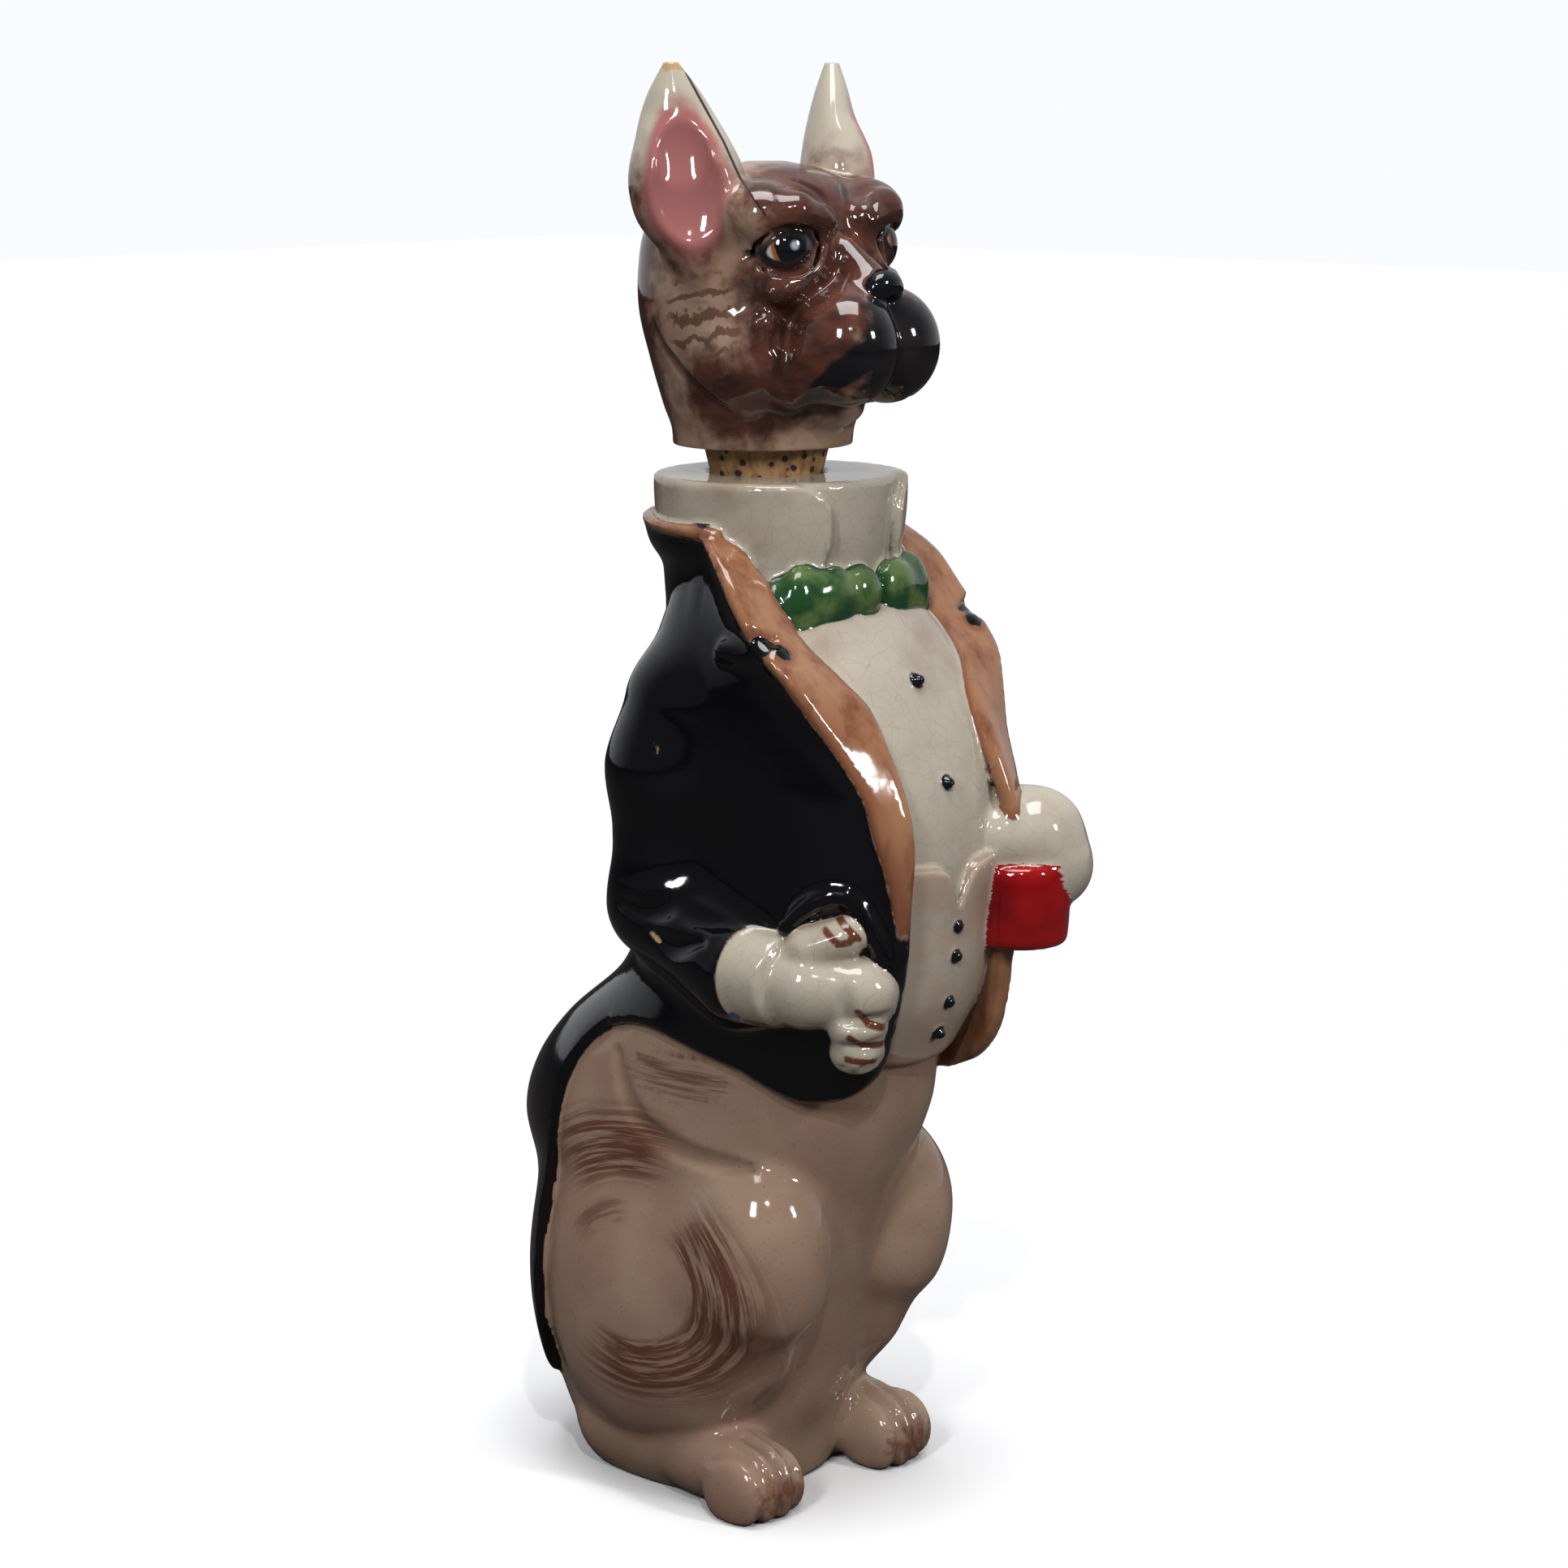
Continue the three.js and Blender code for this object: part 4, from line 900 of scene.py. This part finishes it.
def figureFinish():
    m = Finish("figureGlaze")
    c = glazeColours
    field = m.field
    wander = m.noise(700, 3) - 0.5
    edge = lambda name, low=-0.1, high=0.1, sway=0.3: (field(name) + wander * sway).ramp(low, high)
    # fur: grey brown, with brush strokes that sweep round the haunch
    fur = m.mix(m.noise(45, 4).ramp(0.3, 0.72), c["fur"], c["furPale"])
    fur = m.mix(m.noise(1800, 2).ramp(0.6, 0.75) * 0.3, fur, c["headBrown"])
    swirl = m.vector("swirl")
    outwards, around, clear = [m.part(swirl, i) for i in (0, 1, 2)]
    hairs = m.strokes((11, 1.1, 0.05), roughness=0.65, at=swirl)
    streaks = hairs.ramp(0.40, 0.54) * 0.85 + 0.15

    def sweep(inner, outer, start, end):  # where a brush stroke lies, out from the middle and round it
        ring = outwards.ramp(*inner) * (1 - outwards.ramp(*outer))
        return ring * around.ramp(*start) * (1 - around.ramp(*end))

    fore = sweep((0.85, 1.05), (1.7, 2.3), (-2.5, -1.8), (0.6, 1.1))
    rump = sweep((1.5, 1.9), (2.5, 3.2), (1.2, 1.6), (2.2, 2.6))
    crown = sweep((0.9, 1.1), (1.3, 1.5), (1.7, 2.0), (2.4, 2.9)) * 0.7
    hip = (field("hip") + wander * 3).ramp(-0.4, 1.2) * m.strokes((60, 60, 900), 3).ramp(0.4, 0.62)
    claws = (field("claws") + wander * 2).ramp(-0.3, 0.9) * (m.noise(300, 3).ramp(0.3, 0.55) * 0.7 + 0.3)
    brushed = (fore.highest(rump).highest(crown) * streaks * clear).highest(hip * 0.8).highest(claws * 0.9)
    fur = m.mix(brushed * 0.92, fur, c["furStroke"])
    # painted shade: the fur is darker along the rump, hip and heel folds and between the toes
    fur = m.mix((1 - field("dent").ramp(-0.5, 0.5)) * 0.5, fur, c["headBrown"])
    # cream glaze: fine crackle and darker patches, and a line of painted shade along the waistcoat's edge
    crackle = m.node("TexVoronoi", {"feature": "DISTANCE_TO_EDGE"}, "Distance", Vector=m.place(), Scale=330)
    cream = m.mix(m.noise(60, 4).ramp(0.45, 0.85), c["cream"], c["creamShade"])
    cream = m.mix(m.noise(160, 3).ramp(0.62, 0.75) * 0.3, cream, c["creamCool"])
    cream = m.mix((1 - crackle.ramp(0.0, 0.03)) * 0.35, cream, c["creamShade"])
    waist = m.mix(m.noise(90, 4).ramp(0.3, 0.8) * 0.7 + 0.15, cream, c["furPale"])
    shirt = m.mix((field("waistcoat") + wander * 0.4).ramp(-0.1, 0.2), cream, waist)
    # painted shade: a thin dark line where the waistcoat's edge steps over the shirt
    shirt = m.mix(1 - field("waistcoat").size().ramp(0.0, 0.22), shirt, c["creamShade"])
    # lapels and the turned edge of the coat: brown wiped thin
    wiped = m.strokes((200, 200, 70)).ramp(0.38, 0.85)
    rim = 1 - field("lapel").ramp(0.0, 0.9)
    lapel = m.mix(wiped.highest(rim * 0.7), c["lapel"], c["lapelDark"])
    facing = m.mix(wiped, c["lapel"], c["lapelDark"])
    green = m.mix(m.noise(150, 4).ramp(0.40, 0.66), c["green"], c["greenPale"])
    # painted shade: the bow is darker where it meets the collar, shirt and coat
    green = m.mix((1 - field("bow").ramp(0.1, 0.7)) * 0.7, green, c["greenShade"])
    red = m.mix(m.noise(60, 3).ramp(0.4, 0.7), c["red"], c["redDark"])
    # each glaze in its place
    colour = m.mix(edge("shirt"), fur, shirt)
    colour = m.mix(edge("lapel"), colour, lapel)
    colour = m.mix(edge("coat"), colour, c["coat"])
    colour = m.mix(edge("facing") * field("coat").ramp(-0.1, 0.1), colour, facing)
    chips = (field("coatChips") + wander * 0.5).ramp(-0.1, 0.1)
    colour = m.mix(chips * field("coat").ramp(-0.5, 0), colour, c["clay"])
    for name in ("collar", "cuff", "hand"):
        colour = m.mix(edge(name), colour, cream)
    drawn = field("fingerLines").ramp(-0.1, 0.12)
    colour = m.mix(drawn * field("hand").ramp(0, 0.1), colour, c["furStroke"])
    colour = m.mix(edge("bow"), colour, green)
    ragged = (m.strokes((300, 300, 1600), roughness=0.7) - 0.5) * 1.6
    colour = m.mix((field("cup") + ragged).ramp(-0.1, 0.05), colour, red)
    halo = field("button").ramp(-0.45, 0.0)
    colour = m.mix(halo * halo * field("shirt").ramp(-0.5, 0.2) * 0.8, colour, c["blue"])
    colour = m.mix(edge("button", -0.12, -0.02, 0.1), colour, c["black"])
    stud = (field("cuffButton") + wander * 0.3).ramp(0, 0.15)
    colour = m.mix(stud * field("cuff").ramp(-0.4, 0), colour, c["blue"])
    return m.finish(colour, 0.09, m.noise(200, 2) + hairs * brushed * 0.15, depth=0.00012, strength=0.35)


def headFinish():
    m = Finish("headGlaze")
    c = glazeColours
    field = m.field
    wander = m.noise(260, 4) - 0.5
    fine = m.noise(900, 3) - 0.5
    place = m.vector("place")
    side, back, up = [m.part(place, i) for i in (0, 1, 2)]
    base = m.mix(m.noise(70, 4).ramp(0.35, 0.7), c["fur"], c["furPale"])
    brown = m.mix(m.strokes((0.1, 0.1, 0.2), at=place).ramp(0.35, 0.7), c["headBrown"], c["headDark"])
    share = (field("brown") + wander * 18 + 7).ramp(-4, 5) * 0.88 + 0.1
    bands = (up * 1.15 + back * 0.2 + wander * 11).sine().ramp(0.0, 0.7)
    stripe = bands * (field("stripes") + wander * 8).ramp(-2, 3) * 0.8
    colour = m.mix(share.highest(stripe), base, brown)
    # painted shade: the brow furrows and the lid, cheek, pouch, eye corner and jaw folds are darkened
    colour = m.mix(field("crease").ramp(0.2, 1.8) * 0.75, colour, c["headDark"])
    # ears: cream, browner at the root, dusty pink inside with a pale side
    root = m.mix(wander.ramp(-0.2, 0.2), c["headBrown"], c["fur"])
    ear = m.mix((up + wander * 22).ramp(60, 82), root, c["cream"])
    colour = m.mix((field("ear") + wander * 3).ramp(-1, 2), colour, ear)
    pink = m.mix((side + wander * 12).ramp(20, 31), c["pinkPale"], c["pink"])
    inside = (field("earInside") + wander * 3).ramp(-1.5, 1.5) * field("ear").ramp(-1, 1)
    colour = m.mix(inside, colour, pink)
    colour = m.mix(field("crack").ramp(-0.1, 0.15), colour, c["headDark"])
    colour = m.mix((field("chip") + wander * 5).ramp(0, 0.5), colour, c["clay"])
    lips = (field("mouth") + wander * 3).ramp(-0.5, 1)
    black = (field("muzzleBlack") + wander * 7).ramp(-2.5, 2.5).highest(lips)
    colour = m.mix(black * 0.97, colour, c["black"])
    colour = m.mix((field("nose") + fine).ramp(-0.3, 0.3), colour, c["black"])
    # eyes, looking to the dog's left: a black iris, a pale corner with an amber edge, and a grey glint
    plan = m.vector("eyePlan")
    across, height = m.part(plan, 0) * m.part(plan, 2) * -1, m.part(plan, 1)

    def away(a, b):  # from a point of the eye
        return ((across - a) * (across - a) + (height - b) * (height - b)).root()

    iris = away(-0.12, 0.14) + fine * 0.1
    corner = m.mix(iris.ramp(0.70, 0.78), c["eyeOrange"], c["eyeWhite"])
    eye = m.mix(iris.ramp(0.60, 0.66), c["black"], corner)
    eye = m.mix(1 - away(-0.12, 0.16).ramp(0.06, 0.2), eye, c["eyeGlint"])
    eye = m.mix((across * -1).ramp(0.5, 0.62), eye, c["blue"])
    colour = m.mix(field("lid").ramp(-0.9, 0.2) * 0.8, colour, c["black"])
    colour = m.mix(field("eye").ramp(-0.15, 0.15), colour, eye)
    return m.finish(colour, 0.08, m.noise(170, 3), depth=0.00015, strength=0.4)


figure.data.materials.append(figureFinish())
head.data.materials.append(headFinish())
print("glazes made")


corkLooks = {
    "pale": (0.36, 0.21, 0.09),
    "dark": (0.20, 0.10, 0.04),
    "pit": (0.02, 0.01, 0.006),
    "grain": 700,
    "pits": 420,
}


def corkFinish():
    m = Finish("corkGrain")
    grain = m.noise(corkLooks["grain"], 4, 0.6, m.stretched(m.place(), (1, 1, 0.35)))
    colour = m.mix(grain.ramp(0.3, 0.7), corkLooks["dark"], corkLooks["pale"])
    pits = m.node("TexVoronoi", None, "Distance", Vector=m.place(), Scale=corkLooks["pits"])
    colour = m.mix((0.32 - pits).ramp(0, 0.08), colour, corkLooks["pit"])
    return m.finish(colour, 0.85, grain, depth=0.0005, strength=0.6)


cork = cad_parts["cork"]
cork.data.materials.clear()
cork.data.materials.append(corkFinish())


# Studio

studio = {
    "cameraPlace": (-0.4964, -0.4470, 0.265),
    "cameraTurn": -48.27,  # degrees from looking along +Y
    "cameraDip": 11.0,
    "lens": 83.48,
    "floorReach": 4,
    "backdropSide": (0.743, 0.669, 0.1),  # away from the camera, where the paper behind the piece is lit
    "backdropGlow": 0.55,
    "fill": 0.10,
    "paper": 1.0,
    "skyColour": (0.95, 0.97, 1, 1),
}


def areaLight(name, place, aim, size, power, colour=(1, 1, 1)):
    light = bpy.data.lights.new(name, "AREA")
    light.shape, light.size, light.size_y, light.energy, light.color = "RECTANGLE", *size, power, colour
    lamp = bpy.data.objects.new(name, light)
    lamp.location = place
    lamp.rotation_euler = (Vector(aim) - Vector(place)).to_track_quat("-Z", "Y").to_euler()
    bpy.context.scene.collection.objects.link(lamp)


def floorFinish():  # paper: it takes the shade near the piece, and is plain white further away
    m = Finish("floorPaper")
    distance = m.node("VectorMath", {"operation": "LENGTH"}, "Value", i0=m.place())
    paper = m.tree.nodes.new("ShaderNodeBsdfDiffuse")
    seen = m.node("LightPath", output="Is Camera Ray")
    # dim where the glaze reflects it, so that black stays black
    shade = m.mix(seen, (0.06, 0.055, 0.055), (0.86, 0.86, 0.87))
    m.tree.links.new(shade.socket, paper.inputs["Color"])
    lit = m.tree.nodes.new("ShaderNodeEmission")
    lit.inputs["Color"].default_value = (1, 1, 1, 1)
    share = seen * distance.ramp(0.04, 0.42)
    first, second = [Maths(m.tree, shader.outputs[0]) for shader in (paper, lit)]
    mixed = m.node("MixShader", i0=share, i1=first, i2=second)
    out = m.tree.nodes.new("ShaderNodeOutputMaterial")
    m.tree.links.new(mixed.socket, out.inputs[0])
    return m.material


def makeStudio():
    bpy.context.scene.view_settings.view_transform = "Standard"
    mesh = bpy.data.meshes.new("studioFloor")
    reach = studio["floorReach"]
    corners = [(-reach, -reach, 0), (reach, -reach, 0), (reach, reach, 0), (-reach, reach, 0)]
    mesh.from_pydata(corners, [], [(0, 1, 2, 3)])
    floor = bpy.data.objects.new("studioFloor", mesh)
    bpy.context.scene.collection.objects.link(floor)
    floor.data.materials.append(floorFinish())
    world = bpy.data.worlds.new("studioWorld")
    world.use_nodes = True
    sky = Finish("studioSky", world.node_tree)
    backing = sky.node("TexCoord", output="Generated")
    dot = {"operation": "DOT_PRODUCT"}
    behind = sky.node("VectorMath", dot, "Value", i0=backing, i1=studio["backdropSide"])
    seen = sky.node("LightPath", output="Is Camera Ray")
    glow = behind.ramp(-0.35, 0.75) * studio["backdropGlow"] + studio["fill"]
    strength = seen * studio["paper"] + (1 - seen) * glow
    background = world.node_tree.nodes["Background"]
    background.inputs[0].default_value = studio["skyColour"]
    world.node_tree.links.new(strength.socket, background.inputs[1])
    bpy.context.scene.world = world
    areaLight("windowLeft", (-1.0, -0.35, 0.75), (0, 0, 0.13), (0.16, 0.3), 6)
    areaLight("windowRight", (0.15, -1.1, 0.65), (0, 0, 0.14), (0.14, 0.22), 6)
    areaLight("overhead", (-0.1, -0.1, 1.2), (0, 0, 0.1), (0.6, 0.6), 11)
    areaLight("pointLamp", (-0.62, -0.62, 0.85), (0, 0, 0.15), (0.03, 0.03), 3)


def makeCamera():
    camera = bpy.data.objects.new("camera", bpy.data.cameras.new("camera"))
    camera.data.lens, camera.data.sensor_width = studio["lens"], 36
    camera.data.clip_start, camera.data.clip_end = 0.05, 20
    camera.location = studio["cameraPlace"]
    camera.rotation_euler = (math.radians(90 - studio["cameraDip"]), 0, math.radians(studio["cameraTurn"]))
    bpy.context.scene.collection.objects.link(camera)
    bpy.context.scene.camera = camera


makeStudio()
makeCamera()
print("studio ready")
